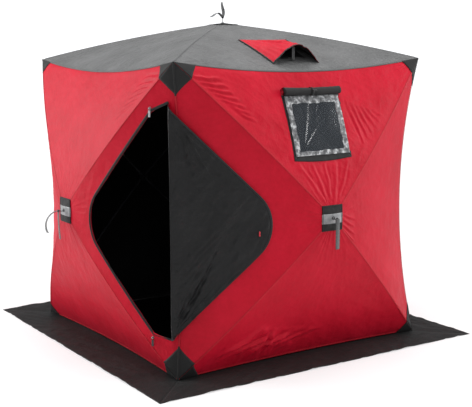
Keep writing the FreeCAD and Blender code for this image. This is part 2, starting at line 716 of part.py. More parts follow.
def window_film():
    """The clear film that presses on to the band."""
    low_a, low_b = window_rectangle(10.0)[0]
    high_a, high_b = window_rectangle(10.0)[2]
    count = 7
    local = []
    for i in range(count):
        for j in range(count):
            local.append(over_panel("top", low_a + (high_a - low_a) * j / (count - 1),
                                    low_b + (high_b - low_b) * i / (count - 1)))
    return [sheet("front", "top", local, grid_triangles(count, count), 1.0, 6.0)]


def window_cover():
    """The window's fabric cover, rolled up above it."""
    seat = over_panel("top", WINDOW_MIDDLE, COVER_HEIGHT)
    middle = place("front", seat.x, seat.y + COVER_RADIUS + 7.0, seat.z + 10.0)
    left_end = middle - Vector(COVER_LENGTH / 2.0, 0, 0)
    return [Part.makeCylinder(COVER_RADIUS, COVER_LENGTH, left_end, Vector(1, 0, 0))]


def vent_mesh():
    low_a, low_b = vent_rectangle(18.0)[0]
    high_a, high_b = vent_rectangle(18.0)[2]
    count = 6
    local = []
    for i in range(count):
        for j in range(count):
            local.append(over_panel("roof", low_a + (high_a - low_a) * j / (count - 1),
                                    low_b + (high_b - low_b) * i / (count - 1)))
    return [sheet("front", "roof", local, grid_triangles(count, count), 1.0, 3.0)]


def vent_hood():
    """A fabric hood over the vent, flat along its sewn edges and arched at its mouth."""
    rows, columns = 8, 13
    local = []
    for i in range(rows):
        out = VENT_BACK + (VENT_MOUTH - VENT_BACK) * i / (rows - 1)
        for j in range(columns):
            share = 2.0 * j / (columns - 1) - 1.0
            base = over_panel("roof", VENT_MIDDLE + VENT_HALF * share, out)
            rise = VENT_RISE * (i / (rows - 1)) * (1.0 - share * share)
            local.append(base + Vector(0, 0, 6.0 + rise))
    return [sheet("front", "roof", local, grid_triangles(rows, columns))]


def prop_foot():
    foot = over_panel("roof", VENT_MIDDLE, VENT_MOUTH - 35.0)
    return place("front", foot.x, foot.y, foot.z + 9.0)


def vent_prop():
    """The stiff strip that holds the hood's mouth open, hinged at its foot."""
    width_way, thickness_way, up = Vector(1, 0, 0), Vector(0, 1, 0), Vector(0, 0, 1)
    strip = block(prop_foot(), width_way, PROP_WIDTH, thickness_way, PROP_THICKNESS, up, PROP_LENGTH)
    pin_start = prop_foot() - width_way * (PROP_WIDTH / 2.0)
    return [strip.fuse(Part.makeCylinder(PROP_THICKNESS, PROP_WIDTH, pin_start, width_way))]


# ---------------------------------------------------------------- the parts, one file each
def nodes():
    made = {side + "_wall": wall(side) for side in SIDES}
    made["roof"] = roof()
    made["snow_skirt"] = snow_skirt()
    made["corner_patches"] = corner_patches()
    for side in list(SIDES) + ["roof"]:
        made[side + "_hub"] = hub(side)
        made[side + "_hub_pins"] = hub_pins(side)
        made[side + "_hub_patch"] = hub_patch(side)
        made[side + "_pull_strap"] = pull_strap(side)
        for limb in LIMBS:
            made[side + "_pole_" + limb] = pole(side, limb)
    made["door_leaf"] = door_leaf()
    made["door_zip"] = door_zip()
    for end in ("top", "bottom"):
        made["zip_slider_" + end] = zip_slider(end)
        made["zip_pull_" + end] = zip_pull(end)
    made["tie_toggles"] = tie_toggles()
    made["window_frame"] = window_frame()
    made["window_film"] = window_film()
    made["window_cover"] = window_cover()
    made["vent_mesh"] = vent_mesh()
    made["vent_hood"] = vent_hood()
    made["vent_prop"] = vent_prop()
    return made


def main():
    os.makedirs("parts", exist_ok=True)
    for name, solids in nodes().items():
        shape = solids[0] if len(solids) == 1 else Part.makeCompound(solids)
        shape.exportStep("parts/" + name + ".step")
        state = "valid" if shape.isValid() else "INVALID"
        print(name, len(solids), "solids", round(shape.Volume / 1000.0, 1), "cm3", state)


main()
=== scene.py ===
"""Looks of a pop-up hub shelter for ice fishing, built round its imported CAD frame. Metres, +Z up."""
import math

import bmesh
import bpy
import numpy as np
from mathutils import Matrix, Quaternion, Vector
from mathutils.kdtree import KDTree


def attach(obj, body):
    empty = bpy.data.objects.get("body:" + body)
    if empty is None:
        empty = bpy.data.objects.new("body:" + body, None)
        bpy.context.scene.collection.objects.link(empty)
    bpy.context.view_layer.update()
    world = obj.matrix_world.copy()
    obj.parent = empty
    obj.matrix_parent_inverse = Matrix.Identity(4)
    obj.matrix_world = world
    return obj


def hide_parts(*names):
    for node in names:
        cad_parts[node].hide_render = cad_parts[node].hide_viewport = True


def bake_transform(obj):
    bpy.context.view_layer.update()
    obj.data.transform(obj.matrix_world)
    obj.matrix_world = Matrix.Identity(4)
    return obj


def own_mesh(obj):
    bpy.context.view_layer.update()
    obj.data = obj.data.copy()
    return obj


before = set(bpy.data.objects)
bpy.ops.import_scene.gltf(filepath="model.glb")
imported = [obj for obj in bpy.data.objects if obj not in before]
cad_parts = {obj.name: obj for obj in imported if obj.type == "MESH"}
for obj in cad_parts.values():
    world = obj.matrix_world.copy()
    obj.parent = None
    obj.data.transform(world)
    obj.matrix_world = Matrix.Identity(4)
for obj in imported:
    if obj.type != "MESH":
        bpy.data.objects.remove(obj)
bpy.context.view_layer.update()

# ---------------------------------------------------------------- the cabin's own sizes, as in the CAD frame
HALF_WIDTH = 0.900
CORNER_HEIGHT = 1.800
ROOF_PEAK = 2.030
HUB_HEIGHT = 0.890
POP_OUT = 0.270
RIDGE_BOW = 0.036
ROOF_RIDGE_BOW = 0.020
EAVE_SAG = 0.065
SEAM_PULL = 0.100
HEM_PULL = 0.040
HEM_HEIGHT = 0.008
SKIRT_INNER = 0.850
SKIRT_OUTER = 1.165
NEAR_HUB = 0.03            # share of the way to the corner where the fabric starts round a hub
EDGE_SHARE = 0.9985
POLE_STARTS = 0.021        # shares at which a pole starts on its hub and ends in its corner
POLE_ENDS = 0.955
CLOTH = 0.0012
PATCH = 0.152
EYELET_OUT = 0.006         # fabric's point over a hub to the pull cord's eyelet
EYELET_RADIUS = 0.0088
CORD_REACH = 0.032
STRAP_WIDTH = 0.028
STRAP_LENGTH = 0.180

DOOR_TOP = (0.785, 1.580)
DOOR_SIDE = (0.184, 0.860)
DOOR_BOTTOM = (0.785, 0.200)
DOOR_ROUNDING = 0.234
DOOR_TO_SEAM = 0.036
DOOR_BEND = 0.735          # the slanting edges bend here towards their ends beside the seam
DOOR_APEX = 1.578
DOOR_FOOT = 0.222
DOOR_MIDDLE = (0.600, 0.868)
ZIP_WIDTH = 0.016
FOLD = (-0.916, -0.866)          # plan position of the crest of the folded-back cloth
FLAP_WAY = (0.9187, 0.395)       # plan direction in which the folded-back door leaves the crest
FLAP_SLOPE = 0.43                # outwards for each metre across
FLAP_TOP = 1.545
FLAP_LOW = 0.238
FLAP_POINT = (0.694, 0.872)      # crest to the door's side point, before rounding, and its height
FLAP_ROUNDING = 0.226
FLAP_THICKNESS = 0.0022

WINDOW = (-0.230, 1.230, 0.190, 1.598)
WINDOW_MIDDLE = ((WINDOW[0] + WINDOW[2]) / 2.0, (WINDOW[1] + WINDOW[3]) / 2.0)
WINDOW_BAND = 0.048
FILM_BOX = (WINDOW[0] + 0.012, WINDOW[1] + 0.024, WINDOW[2] - 0.012, WINDOW[3] - 0.006)
ROLL_RADIUS = 0.029
ROLL_LENGTH = 0.410
ROLL_HEIGHT = 1.640
ROLL_TURNS = 4.6
VENT_MIDDLE = -0.010
VENT_HALF = 0.180
VENT_BACK = 0.470
VENT_MOUTH = 0.825
VENT_RISE = 0.110
VENT_HOLE = (-0.130, 0.530, 0.110, 0.740)

SIDES = {"front": 0, "right": 1, "back": 2, "left": 3}
ROOMS = ("front", "right", "back", "left", "roof")
ACROSS, OUT, UP = np.eye(3)      # axes of a wall's own (across, out, up) frame
CABIN = (0.0, 0.0, 0.9)          # a point inside the cabin


# ---------------------------------------------------------------- lines and directions
def unit(vectors):
    return vectors / np.maximum(np.linalg.norm(vectors, axis=-1, keepdims=True), 1e-12)


def towards(vectors, way):
    """The vectors, all turned over if most of them look away from a direction."""
    return vectors * np.sign((vectors @ np.asarray(way, float)).sum())


def stack(*parts):
    """Coordinates of any shapes that broadcast, as points."""
    return np.stack(np.broadcast_arrays(*parts), -1)


def run_of(line):
    """How far along a line each of its points is."""
    return np.concatenate([[0.0], np.cumsum(np.linalg.norm(np.diff(line, axis=0), axis=1))])


def beside(line, top):
    """(across, up) at each point of a line that lies on cloth which looks towards top."""
    along = unit(np.gradient(line, axis=0))
    across = unit(np.cross(along, top))
    return across, unit(np.cross(across, along))


def offset(start, *terms):
    """A point moved by several distances along directions: each term is (distances, direction)."""
    return start + sum(np.multiply.outer(distance, way) for distance, way in terms)


# ---------------------------------------------------------------- surfaces
def place(side, points):
    """Points (across, out, up) of a wall, or of the roof's slope on that side, in the cabin's frame."""
    x, y = points[..., 0], -points[..., 1]
    for _ in range(SIDES[side]):
        x, y = -y, x
    return np.stack([x, y, points[..., 2]], -1)


def ridge(part, hand, share):
    """A pole seam, from its hub (share 0) to the corner (share 1)."""
    arch = 4.0 * share * (1.0 - share)
    if part == "roof":
        rise = ROOF_PEAK + (CORNER_HEIGHT - ROOF_PEAK) * share + ROOF_RIDGE_BOW * arch
        return np.stack([hand * HALF_WIDTH * share, HALF_WIDTH * share, rise], -1)
    corner_up = CORNER_HEIGHT if part == "upper" else HEM_HEIGHT
    out = HALF_WIDTH + POP_OUT * (1.0 - share) + RIDGE_BOW * arch
    return np.stack([hand * HALF_WIDTH * share, out, HUB_HEIGHT + (corner_up - HUB_HEIGHT) * share], -1)


DIAGONAL = SEAM_PULL / math.sqrt(2.0)
PANELS = {
    "top": (("upper", -1), ("upper", 1), (0.0, 0.0, -EAVE_SAG)),
    "bottom": (("lower", -1), ("lower", 1), (0.0, -HEM_PULL, 0.0)),
    "left": (("upper", -1), ("lower", -1), (DIAGONAL, -DIAGONAL, 0.0)),
    "right": (("upper", 1), ("lower", 1), (-DIAGONAL, -DIAGONAL, 0.0)),
    "roof": (("roof", -1), ("roof", 1), (0.0, 0.0, -EAVE_SAG)),
}


def on_panel(panel, share, turn):
    """Smooth fabric panel: share runs from the hub to the outer edge, turn from one pole seam to the next."""
    first, second, pull = PANELS[panel]
    a, b = ridge(*first, share), ridge(*second, share)
    turn = turn[..., None]
    bow = (4.0 * turn * (1.0 - turn)) * (share[..., None] ** 2)
    return a + (b - a) * turn + np.array(pull) * bow


def flat(panel, points):
    """The two coordinates over which a panel is a height field."""
    return points[..., [0, 1]] if panel == "roof" else points[..., [0, 2]]


def find(panel, pair):
    """(share, turn) of a panel over given flat coordinates, by Newton's method."""
    share = np.full(pair.shape[:-1], 0.6)
    turn = np.full(pair.shape[:-1], 0.5)
    step = 1e-5
    for _ in range(14):
        here = flat(panel, on_panel(panel, share, turn))
        along = (flat(panel, on_panel(panel, share + step, turn)) - here) / step
        aside = (flat(panel, on_panel(panel, share, turn + step)) - here) / step
        miss = pair - here
        size = along[..., 0] * aside[..., 1] - aside[..., 0] * along[..., 1]
        share = share + (miss[..., 0] * aside[..., 1] - miss[..., 1] * aside[..., 0]) / size
        turn = turn + (along[..., 0] * miss[..., 1] - along[..., 1] * miss[..., 0]) / size
    return share, turn


def over(panel, a, b):
    """The point of a panel over one place."""
    return on_panel(panel, *find(panel, np.array([[a, b]], float)))[0]


def edge_frame(side, panel, count):
    """Along a panel's outer edge: its points, the way back into the panel, and the panel's outward."""
    turn = np.linspace(0.0, 1.0, count)
    edge = on_panel(panel, np.ones(count), turn)
    back = unit(on_panel(panel, np.full(count, 0.985), turn) - edge)
    normal = towards(unit(np.cross(np.gradient(edge, axis=0), back)), OUT)
    return place(side, edge), place(side, back), place(side, normal)


# ---------------------------------------------------------------- folds and wrinkles
def noise(x, y, seed):
    """Smooth noise over a plane, from -1 to 1."""
    x, y = np.asarray(x, float), np.asarray(y, float)
    xi, yi = np.floor(x).astype(np.int64), np.floor(y).astype(np.int64)
    xf, yf = x - xi, y - yi
    u, v = xf * xf * (3 - 2 * xf), yf * yf * (3 - 2 * yf)

    def corner(dx, dy):
        mixed = ((xi + dx) * 374761393 + (yi + dy) * 668265263 + seed * 974634777) & 0x7FFFFFFF
        mixed = ((mixed ^ (mixed >> 13)) * 1274126177) & 0x7FFFFFFF
        angle = (mixed ^ (mixed >> 16)) * (2 * math.pi / 65536.0)
        return np.cos(angle) * (xf - dx) + np.sin(angle) * (yf - dy)

    low = corner(0, 0) + (corner(1, 0) - corner(0, 0)) * u
    high = corner(0, 1) + (corner(1, 1) - corner(0, 1)) * u
    return 1.5 * (low + (high - low) * v)


def crests(x, y, seed):
    """Noise turned into narrow crests, from 0 to 1."""
    return np.clip(1.0 - np.abs(noise(x, y, seed)) * 2.2, 0.0, 1.0) ** 1.5


def fan(x, y, source, count, depth, start, reach, seed, facing=None, spread=0.5):
    """Tension wrinkles that run out from a point and die away, in one direction if facing is given."""
    dx, dy = x - source[0], y - source[1]
    far = np.hypot(dx, dy)
    angle = np.arctan2(dy, dx)
    fade = np.exp(-far / reach) * (1.0 - np.exp(-((far / start) ** 2)))
    if facing is not None:
        turn = (angle - facing + math.pi) % (2 * math.pi) - math.pi
        fade = fade * np.exp(-((turn / spread) ** 2))
    return depth * fade * crests(angle * count, far * 3.0, seed)


def fold(x, y, start, end, width, depth):
    """One crease from start to end that rises and dies away along its length."""
    dx, dy = end[0] - start[0], end[1] - start[1]
    long = math.hypot(dx, dy)
    along = ((x - start[0]) * dx + (y - start[1]) * dy) / long
    aside = ((x - start[0]) * dy - (y - start[1]) * dx) / long
    aside = aside + 0.25 * width * np.sin(along * 9.0 / long)
    share = np.clip(along / long, 0.0, 1.0)
    lead = np.sqrt(np.clip(4.0 * share * (1.0 - share), 0.0, 1.0))
    crest = np.exp(-((aside / width) ** 2)) - 0.55 * np.exp(-(((aside - 1.7 * width) / width) ** 2))
    return depth * lead * crest


def smooth_step(value, low, high):
    t = np.clip((value - low) / (high - low), 0.0, 1.0)
    return t * t * (3.0 - 2.0 * t)


def wall_relief(side, panel, share, turn, pair):
    """How far a wall's or roof's fabric stands proud of its smooth panel, in metres."""
    seed = 11 * SIDES[side] + 5 * list(PANELS).index(panel)
    x, y = pair[..., 0], pair[..., 1]
    to_seam = np.minimum(turn, 1.0 - turn) * 2.0 * HALF_WIDTH * share      # distance to the nearest pole seam
    to_edge = (1.0 - share) * HALF_WIDTH
    inside = smooth_step(to_seam, 0.004, 0.10)
    quiet = inside * (0.25 + 0.75 * smooth_step((EDGE_SHARE - share) * HALF_WIDTH, 0.0, 0.05))
    wander = 0.05 * noise(x * 4.0, y * 4.0, seed + 2)
    relief = quiet * (0.0050 * noise(x * 3.1 + 7, y * 3.1, seed)
                      + 0.0016 * noise(x * 11.0, y * 11.0, seed + 1)
                      + 0.0017 * noise(x * 6.0 + y * 9.0, (y - x) * 2.2, seed + 9))
    relief += inside * (0.0010 * crests(x * 12.0 + y * 17.0, (y - x) * 4.5, seed + 10)
                        + 0.0011 * crests((x + wander) * 16.0, (y + wander) * 5.0, seed + 3))
    pucker = crests(turn * 2.0 * HALF_WIDTH * 24.0, to_edge * 5.0, seed + 4) * np.exp(-to_edge / 0.035)
    relief += 0.0020 * pucker * smooth_step(to_seam, 0.0, 0.03)
    seam_pucker = crests(share * HALF_WIDTH * 30.0, to_seam * 6.0, seed + 5 + np.where(turn < 0.5, 0, 1))
    relief += 0.0013 * seam_pucker * np.exp(-to_seam / 0.03) * smooth_step(to_seam, 0.0, 0.008)
    if panel == "roof":
        relief += inside * (0.0019 * crests((x + 0.4 * wander) * 19.0, (y - x) * 12.0, seed + 11)
                            + 0.0013 * crests((x - y) * 27.0, (y + wander) * 20.0, seed + 12))
        hub = (0.0, 0.0)
        corners = ((-HALF_WIDTH, HALF_WIDTH), (HALF_WIDTH, HALF_WIDTH))
    else:
        hub = (0.0, HUB_HEIGHT)
        high = CORNER_HEIGHT if panel != "bottom" else HEM_HEIGHT
        low = CORNER_HEIGHT if panel == "top" else HEM_HEIGHT
        first, second = {"left": (-1, -1), "right": (1, 1)}.get(panel, (-1, 1))
        corners = ((first * HALF_WIDTH, high), (second * HALF_WIDTH, low))
    relief += fan(x, y, hub, 5.5, 0.0042, 0.09, 0.20, seed + 7) * smooth_step(to_seam, 0.0, 0.03)
    set_up = sum(fan(x, y, corner, 9.0, 0.0038, 0.10, 0.16, seed + 8) for corner in corners)
    relief += (set_up + hand_made(side, panel, x, y)) * smooth_step(to_seam, 0.0, 0.02)
    return relief * smooth_step(to_edge, 0.003, 0.030)


def hand_made(side, panel, x, y):
    """The folds that a set-up cabin shows in particular places."""
    relief = np.zeros_like(x)
    if panel == "top" and side in ("front", "left"):
        hand = -1.0 if side == "front" else 1.0
        for k in range(7):                                      # pleats by the near corner's eave
            start = (hand * (0.80 - 0.036 * k), 1.715 - 0.030 * k)
            end = (hand * (0.62 - 0.030 * k), 1.700 - 0.040 * k)
            relief += fold(x, y, start, end, 0.0085, 0.0085 - 0.0007 * k)
    if side == "front" and panel == "top":
        for k in range(6):                                      # pull lines beside the window
            start = (0.225 + 0.035 * k, 1.56 - 0.012 * k)
            end = (0.300 + 0.038 * k, 1.30 + 0.030 * k)
            relief += fold(x, y, start, end, 0.008, 0.0046 - 0.0005 * k)
        for k in range(5):                                      # from the hub up to the window
            relief += fold(x, y, (-0.05 + 0.025 * k, 0.99), (-0.20 + 0.09 * k, 1.21), 0.010, 0.0036)
    if side == "front" and panel == "bottom":
        for k in range(11):                                     # slack over the hem by the near corner
            start = (-0.66 + 0.045 * k, 0.10 + 0.018 * (k % 3))
            end = (-0.36 + 0.045 * k, 0.25 - 0.008 * k)
            relief += fold(x, y, start, end, 0.012, 0.0100 - 0.0005 * k)
        relief += fold(x, y, (-0.335, 0.045), (-0.300, 0.235), 0.012, -0.0090)
        slack = np.exp(-(((x + 0.30) / 0.28) ** 2) - (((y - 0.13) / 0.09) ** 2))
        relief += 0.012 * crests(x * 13.0 - y * 8.0, y * 5.0 + x * 3.0, 91) * slack
    if side == "front" and panel == "right":
        for k in range(4):                                      # crinkles under the pull strap's side
            relief += fold(x, y, (0.085, 0.90 - 0.030 * k), (0.19, 0.86 - 0.045 * k), 0.007, 0.0045)
    return relief


# ---------------------------------------------------------------- meshes
class Cloth:
    """Collects grids of points into one mesh, with a flat map in metres and a share at each point."""

    def __init__(self):
        self.points, self.faces, self.map, self.weight, self.slot = [], [], [], [], []
        self.count = 0

    def grid(self, points, pair, weight=0.0, closed=False, slot=0):
        rows, columns = points.shape[:2]
        index = np.arange(rows * columns).reshape(rows, columns) + self.count
        if closed:
            index = np.concatenate([index, index[:, :1]], 1)
        quads = np.stack([index[:-1, :-1], index[:-1, 1:], index[1:, 1:], index[1:, :-1]], -1).reshape(-1, 4)
        self.faces.append(quads)
        self.slot.append(np.full(len(quads), slot))
        self.points.append(points.reshape(-1, 3))
        self.map.append(np.asarray(pair).reshape(-1, 2))
        self.weight.append(np.broadcast_to(weight, (rows, columns)).reshape(-1))
        self.count += rows * columns

    def object(self, name, *materials):
        mesh = bpy.data.meshes.new(name)
        mesh.from_pydata(np.concatenate(self.points).tolist(), [], np.concatenate(self.faces).tolist())
        loops = np.zeros(len(mesh.loops), np.int32)
        mesh.loops.foreach_get("vertex_index", loops)
        uv = np.concatenate(self.map)[loops].astype(np.float32)
        mesh.uv_layers.new(name="map").data.foreach_set("uv", uv.ravel())
        mesh.polygons.foreach_set("material_index", np.concatenate(self.slot).astype(np.int32))
        mesh.polygons.foreach_set("use_smooth", np.ones(len(mesh.polygons), bool))
        for material in materials:
            mesh.materials.append(material)
        mesh.update()
        made = bpy.data.objects.new(name, mesh)
        bpy.context.scene.collection.objects.link(made)
        return made

    def bent(self, name, body, *materials):
        """The mesh, with its placement baked in; body is not used."""
        return follow(self.object(name, *materials), np.concatenate(self.weight))

    def welded(self, name, *materials):
        """The mesh as one closed piece: doubled points welded and faces turned outwards."""
        return weld(self.object(name, *materials), closed=True)


def weld(piece, closed):
    made = bmesh.new()
    made.from_mesh(piece.data)
    bmesh.ops.remove_doubles(made, verts=made.verts, dist=1e-6)
    if closed:
        bmesh.ops.recalc_face_normals(made, faces=made.faces)
    made.to_mesh(piece.data)
    made.free()
    return piece


def normals_of(points, closed=False):
    """Unit normals of a grid, from its own rows and columns."""
    right = np.gradient(points, axis=1)
    if closed:
        wide = np.concatenate([points[:, -1:], points, points[:, :1]], 1)
        right = (wide[:, 2:] - wide[:, :-2]) / 2.0
    return unit(np.cross(np.gradient(points, axis=0), right))


def raised(side, panel, share, turn, rise, closed=False):
    """A grid over a panel, rise(flat coordinates) above its smooth surface, as Cloth.grid takes it."""
    base = on_panel(panel, share, turn)
    normal = towards(normals_of(base, closed), UP if panel == "roof" else OUT)
    pair = flat(panel, base)
    height = rise(pair) * np.ones(pair.shape[:-1])
    return place(side, base + normal * height[..., None]), pair, hub_weight(share)


def orient(piece, centre=CABIN, axis=(1.0, 1.0, 1.0)):
    """Makes every face of an open sheet look away from the centre, seen along the axes that count."""
    mesh = piece.data
    for polygon in mesh.polygons:
        away = (polygon.center - Vector(centre)) * Vector(axis)
        if polygon.normal.dot(away) < 0:
            polygon.flip()
    mesh.update()
    return piece


def thick(piece, thickness, inner_slot=0):
    """Gives a sheet its real thickness, with another material on its inside if asked."""
    made = piece.modifiers.new("thickness", "SOLIDIFY")
    made.thickness = thickness
    made.offset = -1.0
    made.material_offset = inner_slot
    made.use_even_offset = False
    return piece


def follow(piece, weights):
    """Bakes the piece's placement into its mesh; the weights are not used."""
    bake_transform(piece)
    return piece


def dress(piece, rides=None, replaces=None):
    """Parents a piece to the body it rides and hides the CAD node it stands for."""
    if rides:
        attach(piece, rides)
    if replaces:
        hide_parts(replaces)


def hub_weight(share):
    """How much of a hub's travel the fabric makes, matched to the poles that turn under it."""
    return np.clip((POLE_ENDS - share) / (POLE_ENDS - POLE_STARTS), 0.0, 1.0)


def ray_reach(middle, angles, outline):
    """How far rays from the middle run before they cross a closed outline."""
    a = np.array(outline)
    edge, start = np.roll(a, -1, axis=0) - a, a - np.array(middle)
    dx, dy = np.cos(angles)[:, None], np.sin(angles)[:, None]
    size = dx * edge[:, 1] - dy * edge[:, 0]
    size = np.where(np.abs(size) < 1e-12, 1e-12, size)
    reach = (start[:, 0] * edge[:, 1] - start[:, 1] * edge[:, 0]) / size
    along = (start[:, 0] * dy - start[:, 1] * dx) / size
    return np.where((reach > 0) & (along >= -1e-6) & (along <= 1 + 1e-6), reach, 0.0).max(1)


def corner_frame(before, tip, after):
    """At an outline's corner: the way back, the way on, half the angle between them, and the way between."""
    u, v = (Vector(before) - Vector(tip)).normalized(), (Vector(after) - Vector(tip)).normalized()
    return u, v, math.acos(u.dot(v)) / 2.0, (u + v).normalized()


def arc_corner(before, tip, after, radius, steps):
    """Points of an arc that rounds a corner."""
    u, v, half, between = corner_frame(before, tip, after)
    middle = Vector(tip) + between * (radius / math.sin(half))
    first = Vector(tip) + u * (radius / math.tan(half)) - middle
    start = math.atan2(first.y, first.x)
    turn = 1.0 if u.x * v.y - u.y * v.x < 0 else -1.0
    sweep = turn * (math.pi - 2.0 * half)
    angles = [start + sweep * k / steps for k in range(steps + 1)]
    return [(middle.x + radius * math.cos(t), middle.y + radius * math.sin(t)) for t in angles]


def divided(path, step, closed=False):
    """A path with its runs divided so that its points are about a step apart."""
    path = [tuple(p) for p in path]
    ends = path[1:] + path[:1] if closed else path[1:]
    made = []
    for (ax, ay), (bx, by) in zip(path, ends):
        parts = max(1, round(math.hypot(bx - ax, by - ay) / step))
        made += [(ax + (bx - ax) * k / parts, ay + (by - ay) * k / parts) for k in range(parts)]
    return made if closed else made + path[-1:]


def seam_edge(height):
    """How far across the door's straight edge is at a height: it keeps beside the corner seam."""
    turn = (CORNER_HEIGHT - height) / (CORNER_HEIGHT - HEM_HEIGHT)
    return on_panel("right", np.ones_like(height), turn)[..., 0] - DOOR_TO_SEAM


def door_outline(grow):
    """The door's opening in the left wall, moved outwards by grow, as a path from its top end round."""
    corners = [Vector(DOOR_BOTTOM), Vector(DOOR_TOP), Vector(DOOR_SIDE)]
    moved = []
    for k, corner in enumerate(corners):
        _, _, half, between = corner_frame(corners[k - 1], corner, corners[(k + 1) % 3])
        moved.append(corner - between * (grow / math.sin(half)))
    bottom, top, side = moved
    ends, bends = [], []
    for end, height in ((top, DOOR_APEX), (bottom, DOOR_FOOT)):
        share = (DOOR_BEND - side.x) / (end.x - side.x)
        bends.append((DOOR_BEND, side.y + (end.y - side.y) * share))
        ends.append((float(seam_edge(np.array([height]))[0]), height))
    curve = arc_corner(top, side, bottom, DOOR_ROUNDING + grow, 24)
    return [ends[0], bends[0]] + curve + [bends[1], ends[1]]


def door_opening():
    """The whole outline of the opening, straight edge included."""
    path = door_outline(0.0)
    height = np.linspace(path[-1][1], path[0][1], 30)[1:-1]
    return path + list(zip(seam_edge(height), height))


def rectangle(box, inset=0.0):
    low_a, low_b, high_a, high_b = (v + inset * sign for v, sign in zip(box, (1, 1, -1, -1)))
    return [(low_a, low_b), (high_a, low_b), (high_a, high_b), (low_a, high_b)]


# ---------------------------------------------------------------- materials
def grey(value):
    return (value, value, value)


class Shader:
    """Short calls for building a material's nodes. A value is a number, a colour or another node's output."""

    def __init__(self, name):
        self.material = bpy.data.materials.new(name)
        self.material.use_nodes = True
        self.nodes, self.links = self.material.node_tree.nodes, self.material.node_tree.links
        self.surface = self.nodes["Principled BSDF"]

    def link(self, value, socket):
        if isinstance(value, (int, float, tuple)):
            socket.default_value = value
        else:
            self.links.new(value, socket)

    def node(self, kind, inputs, **settings):
        """A new node, given its settings and then its inputs by name or number."""
        made = self.nodes.new(kind)
        for key, value in settings.items():
            setattr(made, key, value)
        for key, value in inputs.items():
            self.link(value, made.inputs[key])
        return made

    def give(self, inputs):
        """Values for the surface's own inputs."""
        for key, value in inputs.items():
            self.link(value, self.surface.inputs[key])

    def math(self, operation, *values):
        return self.node("ShaderNodeMath", dict(enumerate(values)), operation=operation).outputs[0]

    def place(self, kind="UV"):
        """Flat map in metres, or the object's own coordinates."""
        return self.node("ShaderNodeTexCoord", {}).outputs[kind]

    def split(self, place):
        return self.node("ShaderNodeSeparateXYZ", {0: place}).outputs

    def noise(self, place, scale, detail=4.0, rough=0.55, stretch=None):
        if stretch is not None:
            place = self.node("ShaderNodeMapping", {"Scale": stretch, "Vector": place}).outputs[0]
        settings = {"Scale": scale, "Detail": detail, "Roughness": rough, "Vector": place}
        return self.node("ShaderNodeTexNoise", settings).outputs["Fac"]

    def ramp(self, value, stops):
        made = self.node("ShaderNodeValToRGB", {"Fac": value})
        elements = made.color_ramp.elements
        while len(elements) < len(stops):
            elements.new(0.5)
        for element, (position, colour) in zip(elements, stops):
            element.position = position
            element.color = (*colour, 1.0)
        return made.outputs["Color"]

    def mix(self, share, a, b):
        a, b = ((*colour, 1.0) if isinstance(colour, tuple) else colour for colour in (a, b))
        return self.node("ShaderNodeMix", {0: share, 6: a, 7: b}, data_type="RGBA").outputs[2]

    def bump(self, height, strength, distance, normal=None):
        inputs = {"Strength": strength, "Distance": distance, "Height": height}
        if normal is not None:
            inputs["Normal"] = normal
        return self.node("ShaderNodeBump", inputs).outputs["Normal"]

    def wave(self, value, period):
        return self.math("SINE", self.math("MULTIPLY", value, 2.0 * math.pi / period))


def fabric(name, dark, plain, light, rough, sheen, crinkle, tint=None, gloss=0.30, stitches=None):
    """Coated woven cloth: a weave, fine crinkles, uneven dye and a soft sheen. stitches is (their distance
    from the middle line, their colour) and gives a binding two sewn rows along it (map: along, across)."""
    s = Shader(name)
    place = s.place()
    parts = s.split(place)
    broad = s.noise(place, 3.2, 5.0, 0.6)
    fine = s.noise(place, 42.0, 6.0, 0.65)
    blotch = s.math("MULTIPLY_ADD", broad, 0.65, s.math("MULTIPLY", fine, 0.35))
    thread = s.noise(place, 260.0, 2.0, 0.5, stretch=(1.0, 0.18, 1.0))
    colour = s.mix(0.10, s.ramp(blotch, [(0.32, dark), (0.50, plain), (0.68, light)]),
                   s.ramp(thread, [(0.35, dark), (0.65, light)]))
    creases = s.noise(place, 17.0, 5.0, 0.6)
    crumple = s.noise(place, 55.0, 4.0, 0.6, stretch=(1.0, 0.6, 1.0))
    normal = s.bump(s.math("MULTIPLY_ADD", crumple, 0.35, creases), 0.55, crinkle * 6.0)
    weave = s.math("MULTIPLY", s.wave(parts[0], 0.0011), s.wave(parts[1], 0.0011))
    normal = s.bump(weave, 0.12, 0.00012, normal)
    if stitches:
        gap, dye = stitches
        aside = s.math("ABSOLUTE", s.math("SUBTRACT", s.math("ABSOLUTE", parts[1]), gap))
        dash = s.math("LESS_THAN", s.math("FRACT", s.math("DIVIDE", parts[0], 0.0042)), 0.72)
        sewn = s.math("MULTIPLY", s.math("LESS_THAN", aside, 0.0007), dash)
        colour = s.mix(sewn, colour, dye)
        normal = s.bump(sewn, 0.6, 0.0006, normal)
    s.give({"Base Color": colour, "Roughness": s.math("MULTIPLY_ADD", fine, 0.22, rough - 0.11),
            "Normal": normal, "Sheen Weight": sheen, "Sheen Roughness": 0.45,
            "Sheen Tint": (*(tint or light), 1.0), "Specular IOR Level": gloss})
    return s.material


def stitched(name, dark, plain, light, thread, gap=0.0045):
    """A sewn binding or seam."""
    return fabric(name, dark, plain, light, rough=0.62, sheen=0.25, crinkle=0.0005, stitches=(gap, thread))


def webbing(name, dark, light):
    """Woven tape with ribs along it and fine cross threads (map: along, across)."""
    s = Shader(name)
    place = s.place()
    parts = s.split(place)
    rib, pick = s.wave(parts[1], 0.0031), s.wave(parts[0], 0.0019)
    grain = s.math("MULTIPLY_ADD", s.noise(place, 90.0, 4.0, 0.6), 0.6, 0.2)
    s.give({"Base Color": s.ramp(s.math("MULTIPLY_ADD", rib, 0.16, grain), [(0.30, dark), (0.75, light)]),
            "Roughness": 0.62, "Sheen Weight": 0.3,
            "Normal": s.bump(s.math("MULTIPLY_ADD", pick, 0.5, rib), 0.5, 0.0003)})
    return s.material


